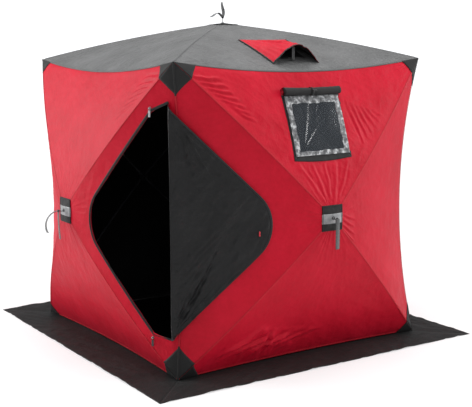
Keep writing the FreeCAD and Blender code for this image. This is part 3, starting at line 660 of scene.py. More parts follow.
def reflective(name, dark, light):
    """Silver-grey reflective band: fine glass-bead grain over a grey tape."""
    s = Shader(name)
    beads = s.noise(s.place(), 900.0, 2.0, 0.5)
    cloudy = s.noise(s.place(), 24.0, 4.0, 0.6)
    tone = s.math("MULTIPLY_ADD", cloudy, 0.7, s.math("MULTIPLY", beads, 0.3))
    s.give({"Base Color": s.ramp(tone, [(0.35, dark), (0.65, light)]), "Metallic": 0.35, "Roughness": 0.42,
            "Normal": s.bump(beads, 0.25, 0.0003)})
    return s.material


def hard(name, dark, light, rough, metallic=0.0, scale=60.0, stretch=None):
    """Moulded plastic, metal or fibreglass, with a fine grain, worn patches and uneven gloss."""
    s = Shader(name)
    place = s.place("Object")
    wear = s.noise(place, scale * 0.3, 5.0, 0.6)
    fine = s.noise(place, scale * 4.0, 4.0, 0.6, stretch=stretch)
    tone = s.math("MULTIPLY_ADD", wear, 0.6, s.math("MULTIPLY", fine, 0.4))
    s.give({"Base Color": s.ramp(tone, [(0.35, dark), (0.68, light)]), "Metallic": metallic,
            "Roughness": s.math("MULTIPLY_ADD", wear, 0.25, rough - 0.12),
            "Normal": s.bump(fine, 0.3, 0.0004)})
    return s.material


def clear_film(name):
    """Clear vinyl: nearly transparent, glossy, rippled, and cloudy where it is pressed on to its band, with
    painted highlights in the border's lightest streaks.
    """
    s = Shader(name)
    place = s.place()
    reach = []
    for part, middle, half in zip(s.split(place), WINDOW_MIDDLE,
                                  ((WINDOW[2] - WINDOW[0]) / 2.0, (WINDOW[3] - WINDOW[1]) / 2.0)):
        reach.append(s.math("SUBTRACT", s.math("ABSOLUTE", s.math("SUBTRACT", part, middle)), half - 0.050))
    ragged = s.math("MULTIPLY", s.math("SUBTRACT", s.noise(place, 30.0, 3.0), 0.5), 0.022)
    border = s.math("GREATER_THAN", s.math("ADD", s.math("MAXIMUM", *reach), ragged), 0.0)
    crumple = s.noise(place, 34.0, 3.0, 0.6)
    # the border's colour: cloudy film in its darker greys, painted highlights in its lightest streaks
    cloudy = s.ramp(crumple, [(0.38, (0.06, 0.06, 0.065)), (0.52, (0.20, 0.205, 0.21)),
                              (0.64, (0.62, 0.63, 0.64))])
    ripple = s.noise(place, 9.0, 3.0, 0.5, stretch=(1.0, 1.6, 1.0))
    height = s.math("MULTIPLY_ADD", s.math("MULTIPLY", crumple, border), 0.12, ripple)
    s.give({"Base Color": s.mix(border, (0.040, 0.048, 0.058), cloudy),
            "Alpha": s.math("MULTIPLY_ADD", border, 0.42, 0.40),
            "Roughness": s.math("MULTIPLY_ADD", border, 0.16, 0.17), "Specular IOR Level": 0.65,
            "Coat Weight": 0.25, "Coat Roughness": 0.08, "Normal": s.bump(height, 0.25, 0.003)})
    return s.material


def netting(name):
    """Open netting: a black grid of threads with holes between."""
    s = Shader(name)
    threads = [s.math("LESS_THAN", s.math("FRACT", s.math("DIVIDE", part, 0.0028)), 0.34)
               for part in s.split(s.place())[:2]]
    grain = s.noise(s.place(), 200.0, 2.0)
    s.give({"Alpha": s.math("MAXIMUM", *threads), "Roughness": 0.7,
            "Base Color": s.ramp(grain, [(0.3, (0.008, 0.008, 0.009)), (0.7, (0.03, 0.03, 0.032))])})
    return s.material


RED = fabric("red_cloth", (0.40, 0.0022, 0.0130), (0.49, 0.0034, 0.0190), (0.57, 0.0060, 0.0270), rough=0.52,
             sheen=0.03, tint=(0.95, 0.30, 0.42), crinkle=0.0011, gloss=0.15)
GREY = fabric("grey_cloth", (0.068, 0.069, 0.069), (0.105, 0.106, 0.106), (0.155, 0.156, 0.156), rough=0.58,
              sheen=0.10, tint=grey(0.5), crinkle=0.0042)
BLACK = fabric("black_cloth", grey(0.006), grey(0.011), grey(0.020), rough=0.68, sheen=0.06, tint=grey(0.3),
               crinkle=0.0008)
LINING = fabric("black_lining", (0.0035, 0.0035, 0.0037), (0.0065, 0.0065, 0.0068), (0.013, 0.013, 0.0135),
                rough=0.44, sheen=0.0, tint=grey(0.4), crinkle=0.0044, gloss=0.27)
INSIDE = fabric("dark_inside", (0.0030, 0.0030, 0.0032), (0.0045, 0.0045, 0.0048), (0.007, 0.007, 0.0072),
                rough=0.8, sheen=0.0, crinkle=0.0008)
SKIRT = fabric("skirt_cloth", grey(0.0050), grey(0.0085), grey(0.016), rough=0.66, sheen=0.04, tint=grey(0.3),
               crinkle=0.0018)
RED_SEAM = stitched("red_seam", (0.38, 0.0035, 0.012), (0.47, 0.0055, 0.018), (0.56, 0.0100, 0.026),
                    (0.26, 0.003, 0.009))
GREY_SEAM = stitched("grey_seam", (0.070, 0.071, 0.071), (0.102, 0.103, 0.103), (0.140, 0.141, 0.141),
                     grey(0.060))
BLACK_SEAM = stitched("black_seam", grey(0.006), grey(0.010), grey(0.018), grey(0.040))
ZIP_TAPE = stitched("zip_tape", (0.008, 0.008, 0.009), (0.013, 0.013, 0.014), (0.022, 0.022, 0.023),
                    grey(0.045), gap=0.0055)
REFLECTIVE = reflective("reflective_band", (0.19, 0.195, 0.20), (0.36, 0.365, 0.37))
STRAP = webbing("grey_webbing", (0.022, 0.0225, 0.023), (0.115, 0.117, 0.120))
FILM = clear_film("clear_film")
NETTING = netting("netting")
NYLON = hard("black_nylon", (0.010, 0.010, 0.011), (0.030, 0.030, 0.032), 0.48)
STEEL = hard("zinc_steel", (0.35, 0.36, 0.37), (0.62, 0.63, 0.64), 0.36, metallic=1.0)
GLASS_ROD = hard("grey_fibreglass", (0.040, 0.042, 0.045), (0.105, 0.108, 0.112), 0.38, scale=30.0,
                 stretch=(1.0, 1.0, 0.1))
ZIP_METAL = hard("zip_metal", (0.30, 0.30, 0.31), (0.66, 0.66, 0.67), 0.30, metallic=1.0, scale=120.0)
RED_PLASTIC = hard("red_plastic", (0.45, 0.010, 0.022), (0.62, 0.030, 0.045), 0.36)
BLACK_PLASTIC = hard("black_plastic", grey(0.010), (0.026, 0.026, 0.027), 0.40)


# ---------------------------------------------------------------- walls and roof
def add_panel(cloth, side, panel, share, turn, closed=False):
    def relief(pair):
        return wall_relief(side, panel, share, turn, pair) - 0.0002

    cloth.grid(*raised(side, panel, share, turn, relief, closed), closed)


def add_plain_panel(cloth, side, panel, rows, columns):
    turn, share = np.meshgrid(np.linspace(0.0, 1.0, columns + 1), np.linspace(NEAR_HUB, EDGE_SHARE, rows + 1))
    add_panel(cloth, side, panel, share, turn)


def add_holed_panel(cloth, side, panel, middle, hole, step, rows):
    """A panel as rings between a hole's outline and its own outline."""
    margin, count = 1e-4, 91
    shares = np.linspace(NEAR_HUB, EDGE_SHARE, count)
    turns = np.linspace(margin, 1.0 - margin, count)
    path = [on_panel(panel, shares, np.full(count, margin)),
            on_panel(panel, np.full(count, EDGE_SHARE), turns)[1:-1],
            on_panel(panel, shares, np.full(count, 1.0 - margin))[::-1]]
    outer = [tuple(p) for p in flat(panel, np.concatenate(path))]
    marks = np.array(divided(hole, step, closed=True) + divided(outer, step, closed=True)) - np.array(middle)
    angles = np.unique(np.round(np.arctan2(marks[:, 1], marks[:, 0]), 3))
    near, far = ray_reach(middle, angles, hole), ray_reach(middle, angles, outer)
    reach = near + (far - near) * (np.arange(rows + 1) / rows)[:, None]
    share, turn = find(panel, np.array(middle) + reach[..., None] * stack(np.cos(angles), np.sin(angles)))
    add_panel(cloth, side, panel, share, np.clip(turn, 0.0, 1.0), closed=True)


def wall(side):
    rows, columns = (96, 120) if side in ("front", "left") else (48, 64)
    cloth = Cloth()
    for panel in ("top", "bottom", "left", "right"):
        if side == "front" and panel == "top":
            add_holed_panel(cloth, side, panel, WINDOW_MIDDLE, rectangle(WINDOW, WINDOW_BAND), 0.009, 60)
        elif side == "left" and panel == "right":
            add_holed_panel(cloth, side, panel, DOOR_MIDDLE, door_opening(), 0.010, 30)
        else:
            add_plain_panel(cloth, side, panel, rows, columns)
    piece = orient(cloth.bent(side + "_cloth", side + "_hub", RED, INSIDE))
    dress(thick(piece, CLOTH, 1), replaces=side + "_wall")


def roof():
    cloth = Cloth()
    for side in SIDES:
        if side == "front":
            middle = (VENT_MIDDLE, (VENT_HOLE[1] + VENT_HOLE[3]) / 2.0)
            add_holed_panel(cloth, side, "roof", middle, rectangle(VENT_HOLE), 0.012, 50)
        else:
            add_plain_panel(cloth, side, "roof", 80, 90)
    piece = orient(cloth.bent("roof_cloth", "roof_hub", GREY, INSIDE))
    dress(thick(piece, CLOTH, 1), replaces="roof")


def ribbon(cloth, line, across, lift, width, height, weight=0.0, slot=0):
    """A closed flat tape along a line of points; lift is out of the cloth."""
    across, lift = np.broadcast_to(across, line.shape), np.broadcast_to(lift, line.shape)
    half = width / 2.0
    section = np.array([(-half, 0.0), (-half * 0.8, height), (0.0, height * 1.35), (half * 0.8, height),
                        (half, 0.0), (0.0, -0.3 * height)])
    points = np.stack([line + across * a + lift * b for a, b in section], 1)
    weight = np.broadcast_to(np.asarray(weight, float), (len(line),))
    cloth.grid(points, stack(run_of(line)[:, None], section[:, 0]), weight[:, None], closed=True, slot=slot)
    for end in (0, -1):
        cloth.grid(points[end][[[0, 5, 4], [1, 2, 3]]], np.zeros((2, 3, 2)), weight[end], slot=slot)


def pole_seams(side):
    """The sewn seam over each pole."""
    cloth = Cloth()
    on_roof = side == "roof"
    share = np.linspace(0.06, 0.985 if on_roof else 0.905, 60)
    if on_roof:
        lines = [place(room, ridge("roof", -1, share)) for room in SIDES]
    else:
        lines = [place(side, ridge(part, hand, share)) for part in ("upper", "lower") for hand in (-1, 1)]
    for line in lines:
        across, lift = beside(line, UP if on_roof else place(side, OUT))
        ribbon(cloth, line + lift * 0.0002, across, lift, 0.010, 0.0006, hub_weight(share))
    piece = cloth.bent(side + "_pole_seams", side + "_hub", GREY_SEAM if on_roof else RED_SEAM)
    dress(piece)


def edge_bindings(side):
    """Piping along the eave, the corner seam and the bottom hem; black where it crosses the patches."""
    count = 70
    cloth = Cloth()
    eave, back, out = edge_frame(side, "top", count)
    ribbon(cloth, eave + out * 0.0010 + back * 0.004, back, out, 0.011, 0.0012)
    dress(cloth.object(side + "_eave_binding", GREY_SEAM), rides="root")
    cloth = Cloth()
    hem, back, out = edge_frame(side, "bottom", count)
    ribbon(cloth, hem + out * 0.0010 + back * 0.009, back, out, 0.014, 0.0012)
    corner = unit(place(side, OUT - ACROSS))
    patch = 0.104
    for low, high, slot, rise in ((0.0, patch, 1, 0.0034), (patch, 1.0 - patch, 0, 0.0006),
                                  (1.0 - patch, 1.0, 1, 0.0034)):
        seam = place(side, on_panel("left", np.ones(count), np.linspace(low, high, count)))
        ribbon(cloth, seam + corner * rise, *beside(seam, corner), 0.012, 0.0012, slot=slot)
    dress(cloth.object(side + "_corner_and_hem_binding", RED_SEAM, BLACK_SEAM), rides="root")


def corner_patches(side):
    """Two small reinforcing triangles at each corner of each panel, sewn on."""
    cloth = Cloth()
    reach = {"top": (0.10, 0.078), "bottom": (0.09, 0.078), "left": (0.10, 0.10), "right": (0.10, 0.10)}
    i, j = np.linspace(0.02, 1.0, 11)[:, None], np.linspace(0.0, 1.0, 11)[None, :]
    for panel, (back, along) in reach.items():
        for end in (0.0, 1.0):
            share, turn = EDGE_SHARE - i * (1.0 - j) * back, np.abs(end - i * j * along)

            def relief(pair):
                return np.maximum(wall_relief(side, panel, share, turn, pair), -0.0005) + 0.0026

            cloth.grid(*raised(side, panel, share, turn, relief))
    piece = orient(cloth.bent(side + "_corner_patches", side + "_hub", BLACK))
    dress(thick(piece, 0.0014), replaces="corner_patches" if side == "front" else None)


def skirt():
    """The snow skirt: four strips mitred at the corners, lying on the ice with slack ripples."""
    cloth, seam = Cloth(), Cloth()
    for side in SIDES:
        seed = 40 + SIDES[side]
        t, r = np.linspace(0.0, 1.0, 110)[None, :], np.linspace(0.0, 1.0, 26)[:, None]
        half = SKIRT_INNER + (SKIRT_OUTER - SKIRT_INNER) * r
        across, out = half * (2.0 * t - 1.0), half * np.ones_like(t)
        mitre = np.minimum(t, 1.0 - t) * 2.0
        ripple = noise(across * 5.0, r * 2.0 + across, seed) * 0.5 + 0.5
        bumps = crests(across * 9.0 + 4.0 * r, r * 2.5, seed + 4)
        beyond = smooth_step(out, HALF_WIDTH + 0.01, HALF_WIDTH + 0.10)
        height = 0.0022 + beyond * (0.0045 * ripple + 0.0055 * bumps) * smooth_step(mitre, 0.0, 0.08)
        rim = smooth_step(r, 0.9, 1.0) * 0.004 * noise(across * 7.0, 0.0 * r, seed + 7)
        points = stack(across, out + rim * np.minimum(1.0, mitre * 8.0), height)
        cloth.grid(place(side, points), stack(across, out))
        hem, back, way = edge_frame(side, "bottom", 90)
        ribbon(seam, hem - way * 0.0032 + back * 0.003, back, -way, 0.020, 0.0009)
    piece = thick(orient(cloth.object("snow_skirt_cloth", SKIRT), (0.0, 0.0, -50.0)), 0.0018)
    dress(piece, rides="root", replaces="snow_skirt")
    dress(seam.object("snow_skirt_seam", SKIRT), rides="root")


# ---------------------------------------------------------------- hubs and straps
def hub_place(side):
    """(the fabric's point over a hub, out, across, up)."""
    if side == "roof":
        return UP * ROOF_PEAK, UP, ACROSS, OUT
    peak = OUT * (HALF_WIDTH + POP_OUT) + UP * HUB_HEIGHT
    return place(side, peak), place(side, OUT), place(side, ACROSS), UP


def hub_patch(side):
    """The square patch over a hub: black cloth with a reflective band, sewn all round, with an eyelet."""
    peak, out, across, up = hub_place(side)
    drop, bow = (ROOF_PEAK - CORNER_HEIGHT, ROOF_RIDGE_BOW) if side == "roof" else (POP_OUT, RIDGE_BOW)

    def height(a, b):
        share = (np.abs(a) ** 8 + np.abs(b) ** 8) ** 0.125 * PATCH / HALF_WIDTH
        share = np.sqrt(share ** 2 + 0.012 ** 2)
        return -drop * share + 4.0 * share * (1.0 - share) * bow + 0.0040

    cloth = Cloth()
    bands = ((-0.5, -0.21, 0), (-0.21, 0.17, 1), (0.17, 0.5, 0))
    for low, high, slot in ((-0.5, 0.0, 0), (0.0, 0.5, 0)) if side == "roof" else bands:
        a, b = np.meshgrid(np.linspace(-0.5, 0.5, 41), np.linspace(low, high, 15))
        scallop = 0.004 * np.sin(a * 60.0) * smooth_step(np.abs(b), 0.46, 0.5)
        waves = 0.0012 * noise(a * 6.0, b * 6.0, 70 + ROOMS.index(side))
        rise = height(a, b) + (0.0007 if slot else 0.0) + waves
        points = offset(peak, (a * PATCH, across), ((b + scallop) * PATCH, up), (rise, out))
        share = np.maximum(np.abs(a), np.abs(b)) * PATCH / HALF_WIDTH
        cloth.grid(points, stack(a, b) * PATCH, 1.0 - share, slot=slot)
    piece = orient(cloth.bent(side + "_hub_patch_cloth", side + "_hub", BLACK, REFLECTIVE))
    dress(thick(piece, 0.0016), replaces=side + "_hub_patch")
    border = Cloth()
    t = np.linspace(0.0, 1.0, 24)
    for start, end, way in (((-0.47, -0.46), (0.47, -0.46), up), ((-0.47, 0.46), (0.47, 0.46), up),
                            ((-0.465, -0.47), (-0.465, 0.47), across),
                            ((0.465, -0.47), (0.465, 0.47), across)):
        a, b = start[0] + (end[0] - start[0]) * t, start[1] + (end[1] - start[1]) * t
        line = offset(peak, (a * PATCH, across), (b * PATCH, up), (height(a, b) + 0.0016, out))
        ribbon(border, line, way, out, 0.005, 0.0007, 1.0 - 0.5 * PATCH / HALF_WIDTH)
    dress(border.bent(side + "_hub_patch_seam", side + "_hub", BLACK_SEAM))
    angles = np.linspace(0.0, 2 * math.pi, 36, endpoint=False)
    ring = offset(peak + out * float(height(0.0, 0.0) + 0.0012), (np.cos(angles) * EYELET_RADIUS, across),
                  (np.sin(angles) * EYELET_RADIUS, up))
    dress(swept(side + "_eyelet", ring, 0.0023, BLACK_PLASTIC, closed=True), rides=side + "_hub")


def capped(name, rings, tips, pair, material):
    """A closed piece from rings of points, ending in a tip at each end."""
    first, last = (np.broadcast_to(tip, (1, *rings.shape[1:])) for tip in tips)
    cloth = Cloth()
    cloth.grid(np.concatenate([first, rings, last]), np.concatenate([pair[:1], pair, pair[-1:]]), closed=True)
    return cloth.welded(name, material)


def swept(name, line, radius, material, closed=False, sides=10):
    """A smooth tube along points, as a closed mesh."""
    along = np.roll(line, -1, axis=0) - np.roll(line, 1, axis=0) if closed else np.gradient(line, axis=0)
    along = unit(along)
    aside = [unit(np.cross(along[0], (0.3, 0.5, 0.81)))]
    for way in along[1:]:
        aside.append(unit(aside[-1] - way * float(aside[-1] @ way)))
    aside = np.array(aside)[:, None]
    angles = np.linspace(0.0, 2 * math.pi, sides, endpoint=False)
    ring = aside * np.cos(angles)[:, None] + np.cross(along[:, None], aside) * np.sin(angles)[:, None]
    radius = np.broadcast_to(radius, (len(line),))
    points = line[:, None] + ring * radius[:, None, None]
    pair = stack(run_of(line)[:, None], angles * radius.max())
    if not closed:
        return capped(name, points, (line[0], line[-1]), pair, material)
    cloth = Cloth()
    cloth.grid(np.concatenate([points, points[:1]]), np.concatenate([pair, pair[:1]]), closed=True)
    return cloth.welded(name, material)


def flat_tape(name, line, across, width, thickness, material, twist):
    """A strip of webbing along a line of points, with rounded edges and closed ends."""
    along = unit(np.gradient(line, axis=0))
    across = across * np.cos(twist)[:, None] + unit(np.cross(along, across)) * np.sin(twist)[:, None]
    across = unit(across - along * (across * along).sum(1, keepdims=True))
    half, edge = width / 2.0, thickness / 2.0
    upper = [(-half, 0.0), (-half * 0.94, edge), (0.0, edge * 1.1), (half * 0.94, edge)]
    section = np.array(upper + [(-a, -b) for a, b in upper])
    points = np.stack([line + across * a + np.cross(along, across) * b for a, b in section], 1)
    pair = stack(run_of(line)[:, None], section[:, 0])
    return capped(name, points, (points[0].mean(0), points[-1].mean(0)), pair, material)


def strap_tails(side, knot, out, across, up):
    """The two tails of a hub's webbing strap: (points, the way across the tape, its twist)."""
    s = np.linspace(0.0, 1.0, 40)
    if side == "roof":
        rise = offset(knot, (s * 0.55 * STRAP_LENGTH, out), (0.006 * np.sin(s * 5.0), across))
        lift = 0.030 * np.sin(np.clip(s * 2.3, 0, 1) * math.pi / 2) - 0.028 * smooth_step(s, 0.35, 1.0)
        curl = offset(knot, (-0.100 * s, across), (lift, out))
        return (rise, up, 0.25 * np.sin(s * 4.0)), (curl, up, 0.10 * np.sin(s * 6.0))
    plain = side in ("front", "back")
    length = STRAP_LENGTH * (1.0 if plain else 0.98)
    hang = offset(knot, (-s * length, up), (0.004 * np.sin(s * 3.0) - 0.004 * s, out), (0.006 * s, across))
    first = (hang, across, 0.10 * np.sin(s * 3.0))
    if plain:
        second = offset(knot + out * 0.0045, (-s * length * 0.96, up), (0.0016 + 0.005 * s * s, out),
                        (-0.008 * s, across))
        return first, (second, across, -0.16 * s)
    bend = 2.1
    reach = STRAP_LENGTH / bend
    curl = offset(knot, (np.sin(s * bend) * reach, out), ((np.cos(s * bend) - 1.0) * reach, up))
    return first, (curl, across, 0.15 * np.sin(s * 4.0))


def pull_strap(side):
    """Cord out of the eyelet, a knot of two turns, and a doubled webbing strap."""
    peak, out, across, up = hub_place(side)
    start = peak + out * EYELET_OUT
    knot = start + out * CORD_REACH
    t = np.linspace(0.0, 1.0, 16)
    sag = 0.0 if side == "roof" else -0.004
    cord = offset(start - out * 0.012, (t, knot - start + out * 0.012), (sag * np.sin(t * math.pi), up))
    turns = np.linspace(0.0, 4.0 * math.pi, 60)
    loop = offset(knot, (np.cos(turns) * 0.0055, across), (np.sin(turns) * 0.0058, up),
                  ((turns / (4.0 * math.pi) - 0.5) * 0.0085, out))
    pieces = [swept(side + "_pull_cord", cord, 0.0021, BLACK_PLASTIC),
              swept(side + "_cord_knot", loop, 0.0025, BLACK_PLASTIC)]
    for k, (line, way, twist) in enumerate(strap_tails(side, knot, out, across, up)):
        pieces.append(flat_tape(f"{side}_strap_tail_{k + 1}", line, way, STRAP_WIDTH, 0.0018, STRAP, twist))
    for piece in pieces:
        dress(piece, rides=side + "_strap",
              replaces=side + "_pull_strap" if piece is pieces[-1] else None)


def toggle(name, middle, way, material, weight):
    """A small barrel toggle on the front wall, with a waist and rounded ends."""
    length, radius = 0.030, 0.0048
    t = np.linspace(-1.0, 1.0, 25)
    waist = 1.0 - 0.22 * np.exp(-((t / 0.22) ** 2))
    rounded = np.sqrt(np.clip(1.0 - np.abs(t) ** 7, 0.02, 1.0))
    line = offset(middle, (t * length / 2.0, way))
    piece = swept(name, line, radius * waist * rounded, material, sides=16)
    return follow(piece, weight)


# ---------------------------------------------------------------- door
def flap_outline():
    """The folded-back door as (reach from the fold's crest, height), from its top end to its low end."""
    top, low = (0.0, FLAP_TOP), (0.0, FLAP_LOW)
    return [top] + arc_corner(top, FLAP_POINT, low, FLAP_ROUNDING, 20) + [low]


def flap_plan(reach, height):
    """Where the draped door lies in plan: it leaves the fold, then settles towards the wall behind it."""
    x = FOLD[0] + reach * FLAP_WAY[0]
    found = find("left", stack(np.clip(x, -0.86, -0.30), np.clip(height, 0.12, 1.64)))
    wall_out = on_panel("left", *found)[..., 1]
    straight = -FOLD[1] + FLAP_SLOPE * (x - FOLD[0])
    near = smooth_step(reach, 0.10, 0.50)
    out = straight * (1.0 - near) + np.maximum(wall_out + 0.012, straight - 0.020) * near
    return stack(x, np.maximum(out, wall_out + 0.007))


def flap_drape(x, y, rows):
    """How far the hanging door's cloth stands proud of its plan: pull lines from both ends of its fold."""
    hang = 0.0035 * noise(x * 7.0, y * 5.0, 303) + 0.0014 * noise(x * 22.0, y * 19.0, 304)
    hang += 0.0022 * crests(x * 9.0 - y * 7.0, x * 3.0 + y * 3.0, 305)
    hang += 0.0016 * crests(x * 20.0 - y * 14.0, x * 5.0 + y * 6.0, 308)
    hang += fan(x, y, (0.0, 0.25), 6.0, 0.0075, 0.10, 0.34, 301, facing=1.0, spread=0.55)
    hang += fan(x, y, (0.0, 1.53), 6.0, 0.0060, 0.10, 0.30, 302, facing=-0.9, spread=0.5)
    hang += fan(x, y, (0.0, 0.30), 12.0, 0.0050, 0.08, 0.30, 306, facing=0.8, spread=0.6)
    hang += fan(x, y, (0.05, 1.45), 12.0, 0.0040, 0.08, 0.25, 307, facing=-1.1, spread=0.5)
    for k in range(7):
        start, end = (0.02 + 0.012 * k, 0.36 + 0.055 * k), (0.20 + 0.045 * k, 0.62 + 0.075 * k)
        hang += fold(x, y, start, end, 0.011, 0.0040)
    return 2.3 * hang * smooth_step(x, 0.0, 0.05) * smooth_step(1.0 - rows, 0.0, 0.06) + 0.0015


def door_flap():
    """The door, red outside and lined in black, folded back over the front wall. Returns its fold's crest."""
    columns = 150
    outline = np.array(divided(flap_outline(), 0.012))
    order = np.linspace(0, len(outline) - 1, columns)
    spine = np.interp(order, [0, columns - 1], [FLAP_TOP, FLAP_LOW])
    tip_reach, tip_height = (np.interp(order, np.arange(len(outline)), part) for part in outline.T)
    rows = np.linspace(0.0, 1.0, 90)[:, None]
    reach, height = tip_reach * rows, spine + (tip_height - spine) * rows
    plan, lift = flap_plan(reach, height), flap_drape(reach, height, rows)
    points = stack(plan[..., 0] - FLAP_WAY[1] * lift, -plan[..., 1] - FLAP_WAY[0] * lift, height)
    cloth = Cloth()
    cloth.grid(points, stack(reach, height))
    piece = thick(orient(cloth.object("door_flap", LINING, RED), (0.0, 0.3, 0.9)), FLAP_THICKNESS, 1)
    dress(piece, rides="door", replaces="door_leaf")
    cloth = Cloth()
    rim, inward = points[-1], unit(points[-3] - points[-1])
    normal = towards(unit(np.cross(unit(np.gradient(rim, axis=0)), inward)), (-0.39, -0.92, 0.0))
    ribbon(cloth, rim + inward * 0.006 + normal * 0.0004, inward, normal, 0.014, 0.0016)
    dress(cloth.object("door_flap_zip_tape", ZIP_TAPE), rides="door")
    return points[0]


def door_fold(crest):
    """The stretch of cloth from the opening's straight edge round to the crest of the fold."""
    height = crest[:, 2]
    ends = door_outline(0.0)
    edge_height = np.interp(height, [height.min(), height.max()], [ends[-1][1], ends[0][1]])
    found = find("right", stack(seam_edge(edge_height) + 0.002, edge_height))
    wall_edge = place("left", on_panel("right", *found))
    t = np.linspace(0.0, 1.0, 14)[:, None, None]
    control = (wall_edge + crest) / 2.0 + np.array([-1.0, -0.25, 0.0]) * 0.022
    points = (1 - t) ** 2 * wall_edge + 2 * t * (1 - t) * control + t ** 2 * crest
    cloth = Cloth()
    cloth.grid(points, stack(-0.08 * (1 - t[..., 0]), height), t[..., 0])
    piece = orient(cloth.bent("door_fold", "door", LINING, RED))
    dress(thick(piece, FLAP_THICKNESS, 1))


def door_zip():
    """Zip tape with a raised coil round the opening's slanting edges."""
    share, turn = find("right", np.array(divided(door_outline(ZIP_WIDTH / 2.0 - 0.001), 0.012)))
    base = on_panel("right", share, turn)
    step = 1e-3
    onwards = on_panel("right", share + step, turn) - base
    aside = on_panel("right", share, turn + step) - base
    normal = towards(unit(np.cross(onwards, aside)), OUT)
    across = unit(np.cross(normal, unit(np.gradient(base, axis=0))))
    cloth = Cloth()
    for rise, width, height in ((0.0030, ZIP_WIDTH, 0.0012), (0.0042, 0.005, 0.0022)):
        line, way, lift = (place("left", part) for part in (base + normal * rise, across, normal))
        ribbon(cloth, line, way, lift, width, height, hub_weight(share))
    dress(cloth.bent("door_zip_tape", "left_hub", ZIP_TAPE), replaces="door_zip")


def tie_back():
    """The red toggle on the front wall that holds the folded-back door."""
    height, rise = 0.83, 0.016
    x, y = flap_plan(np.array([0.51]), np.array([height]))[0]
    centre = np.array([x - FLAP_WAY[1] * rise, -y - FLAP_WAY[0] * rise, height])
    dress(toggle("door_toggle", centre, UP, RED_PLASTIC, 0.0), replaces="tie_toggles")


# ---------------------------------------------------------------- window and vent
def sheet_over(side, panel, box, steps, rise):
    """A grid over a panel, at a height over its smooth surface."""
    a, b = np.meshgrid(np.linspace(box[0], box[2], steps + 1), np.linspace(box[1], box[3], steps + 1))
    return raised(side, panel, *find(panel, stack(a, b)), rise)


def window_band():
    """The hook-and-loop frame, four mitred strips; the lower one sags a little."""
    cloth = Cloth()
    inner, outer = (np.array(rectangle(WINDOW, inset)) for inset in (WINDOW_BAND + 0.002, 0.0))
    t, s = np.linspace(0.0, 1.0, 40)[None, :, None], np.linspace(0.0, 1.0, 8)[:, None, None]
    for k in range(4):
        inside, outside = (corners[k] + (corners[(k + 1) % 4] - corners[k]) * t for corners in (inner, outer))
        pair = inside + (outside - inside) * s
        if k == 0:
            pair[..., 1] -= 0.012 * np.sin(t[..., 0] * math.pi) * s[..., 0]
        cloth.grid(*raised("front", "top", *find("top", pair),
                           lambda at: 0.0032 + 0.0014 * noise(at[..., 0] * 22.0, at[..., 1] * 22.0, 81)))
    piece = orient(weld(cloth.object("window_band", BLACK), closed=False))
    points, weight = np.concatenate(cloth.points), np.concatenate(cloth.weight)
    tree = KDTree(len(points))
    for k, point in enumerate(points):
        tree.insert(point, k)
    tree.balance()
    follow(piece, [weight[tree.find(v.co)[1]] for v in piece.data.vertices])
    dress(thick(piece, 0.0022), replaces="window_frame")


def window_film():
    """Clear film, pressed on to its band with a few pull lines."""
    def rise(pair):
        a, b = pair[..., 0], pair[..., 1]
        corner = (FILM_BOX[0] + 0.05, FILM_BOX[1] + 0.03)
        pulls = fan(a, b, corner, 6.0, 0.0075, 0.05, 0.13, 83, facing=0.9, spread=0.4)
        return 0.0078 + pulls + 0.0004 * noise(a * 30.0, b * 30.0, 85) + 0.0018 * noise(a * 7.0, b * 7.0, 86)

    cloth = Cloth()
    cloth.grid(*sheet_over("front", "top", FILM_BOX, 80, rise))
    piece = thick(orient(cloth.bent("window_film_sheet", "front_hub", FILM)), 0.0006)
    dress(piece, replaces="window_film")


def window_roll():
    """The cover, rolled up: a spiral of cloth, red on its other face, held by a tie with a toggle."""
    seat = over("top", WINDOW_MIDDLE[0], ROLL_HEIGHT)
    middle = seat + np.array([0.0, ROLL_RADIUS + 0.004, -0.020])
    weight = float(hub_weight(find("top", np.array([[seat[0], ROLL_HEIGHT]]))[0])[0])
    t = np.linspace(0.0, 1.0, 190)
    angle = t * ROLL_TURNS * 2.0 * math.pi + 0.6
    radius = 0.0040 + (ROLL_RADIUS - 0.0046) * t
    x = np.linspace(-ROLL_LENGTH / 2.0, ROLL_LENGTH / 2.0, 46)[:, None]
    squeeze = 1.0 - 0.16 * np.exp(-((x / 0.018) ** 2)) - 0.05 * np.abs(noise(x * 14.0, x * 0.0, 88))
    spiral = radius * squeeze * (1.0 + 0.06 * noise(x * 9.0, angle[None, :] * 0.35, 89))
    a = middle[0] + x + 0.004 * noise(angle[None, :] * 0.5, x * 0.0, 90)
    up = middle[2] - 0.004 * np.cos(x / ROLL_LENGTH * math.pi) + np.sin(angle) * spiral * 0.93
    cloth = Cloth()
    length = run_of(stack(np.cos(angle) * radius, np.sin(angle) * radius))
    cloth.grid(place("front", stack(a, middle[1] + np.cos(angle) * spiral, up)), stack(x, length), weight)
    piece = cloth.bent("window_cover_roll", "front_hub", BLACK, RED)
    orient(piece, place("front", middle), axis=(0.0, 1.0, 1.0))
    dress(thick(piece, 0.0011, 1), replaces="window_cover")

    turn = np.linspace(0.0, 2 * math.pi, 48, endpoint=False)
    reach = ROLL_RADIUS * 0.90
    line = middle + stack(-0.004, np.cos(turn) * reach, np.sin(turn) * reach * 0.95 - 0.004)
    outwards = unit(line - line.mean(0))
    section = np.array([(-0.007, 0.0), (-0.007, 0.0014), (0.007, 0.0014), (0.007, 0.0)])
    points = np.stack([line + ACROSS * a + outwards * b for a, b in section], 1)
    points = place("front", np.concatenate([points, points[:1]]))
    cloth = Cloth()
    cloth.grid(points, stack(np.linspace(0, 0.17, len(points))[:, None], section[:, 0]), closed=True)
    dress(follow(cloth.welded("window_tie_1", BLACK_SEAM), weight))
    seat = place("front", middle + np.array([0.0, ROLL_RADIUS + 0.006, 0.004]))
    dress(toggle("window_toggle", seat, ACROSS, BLACK_PLASTIC, weight))


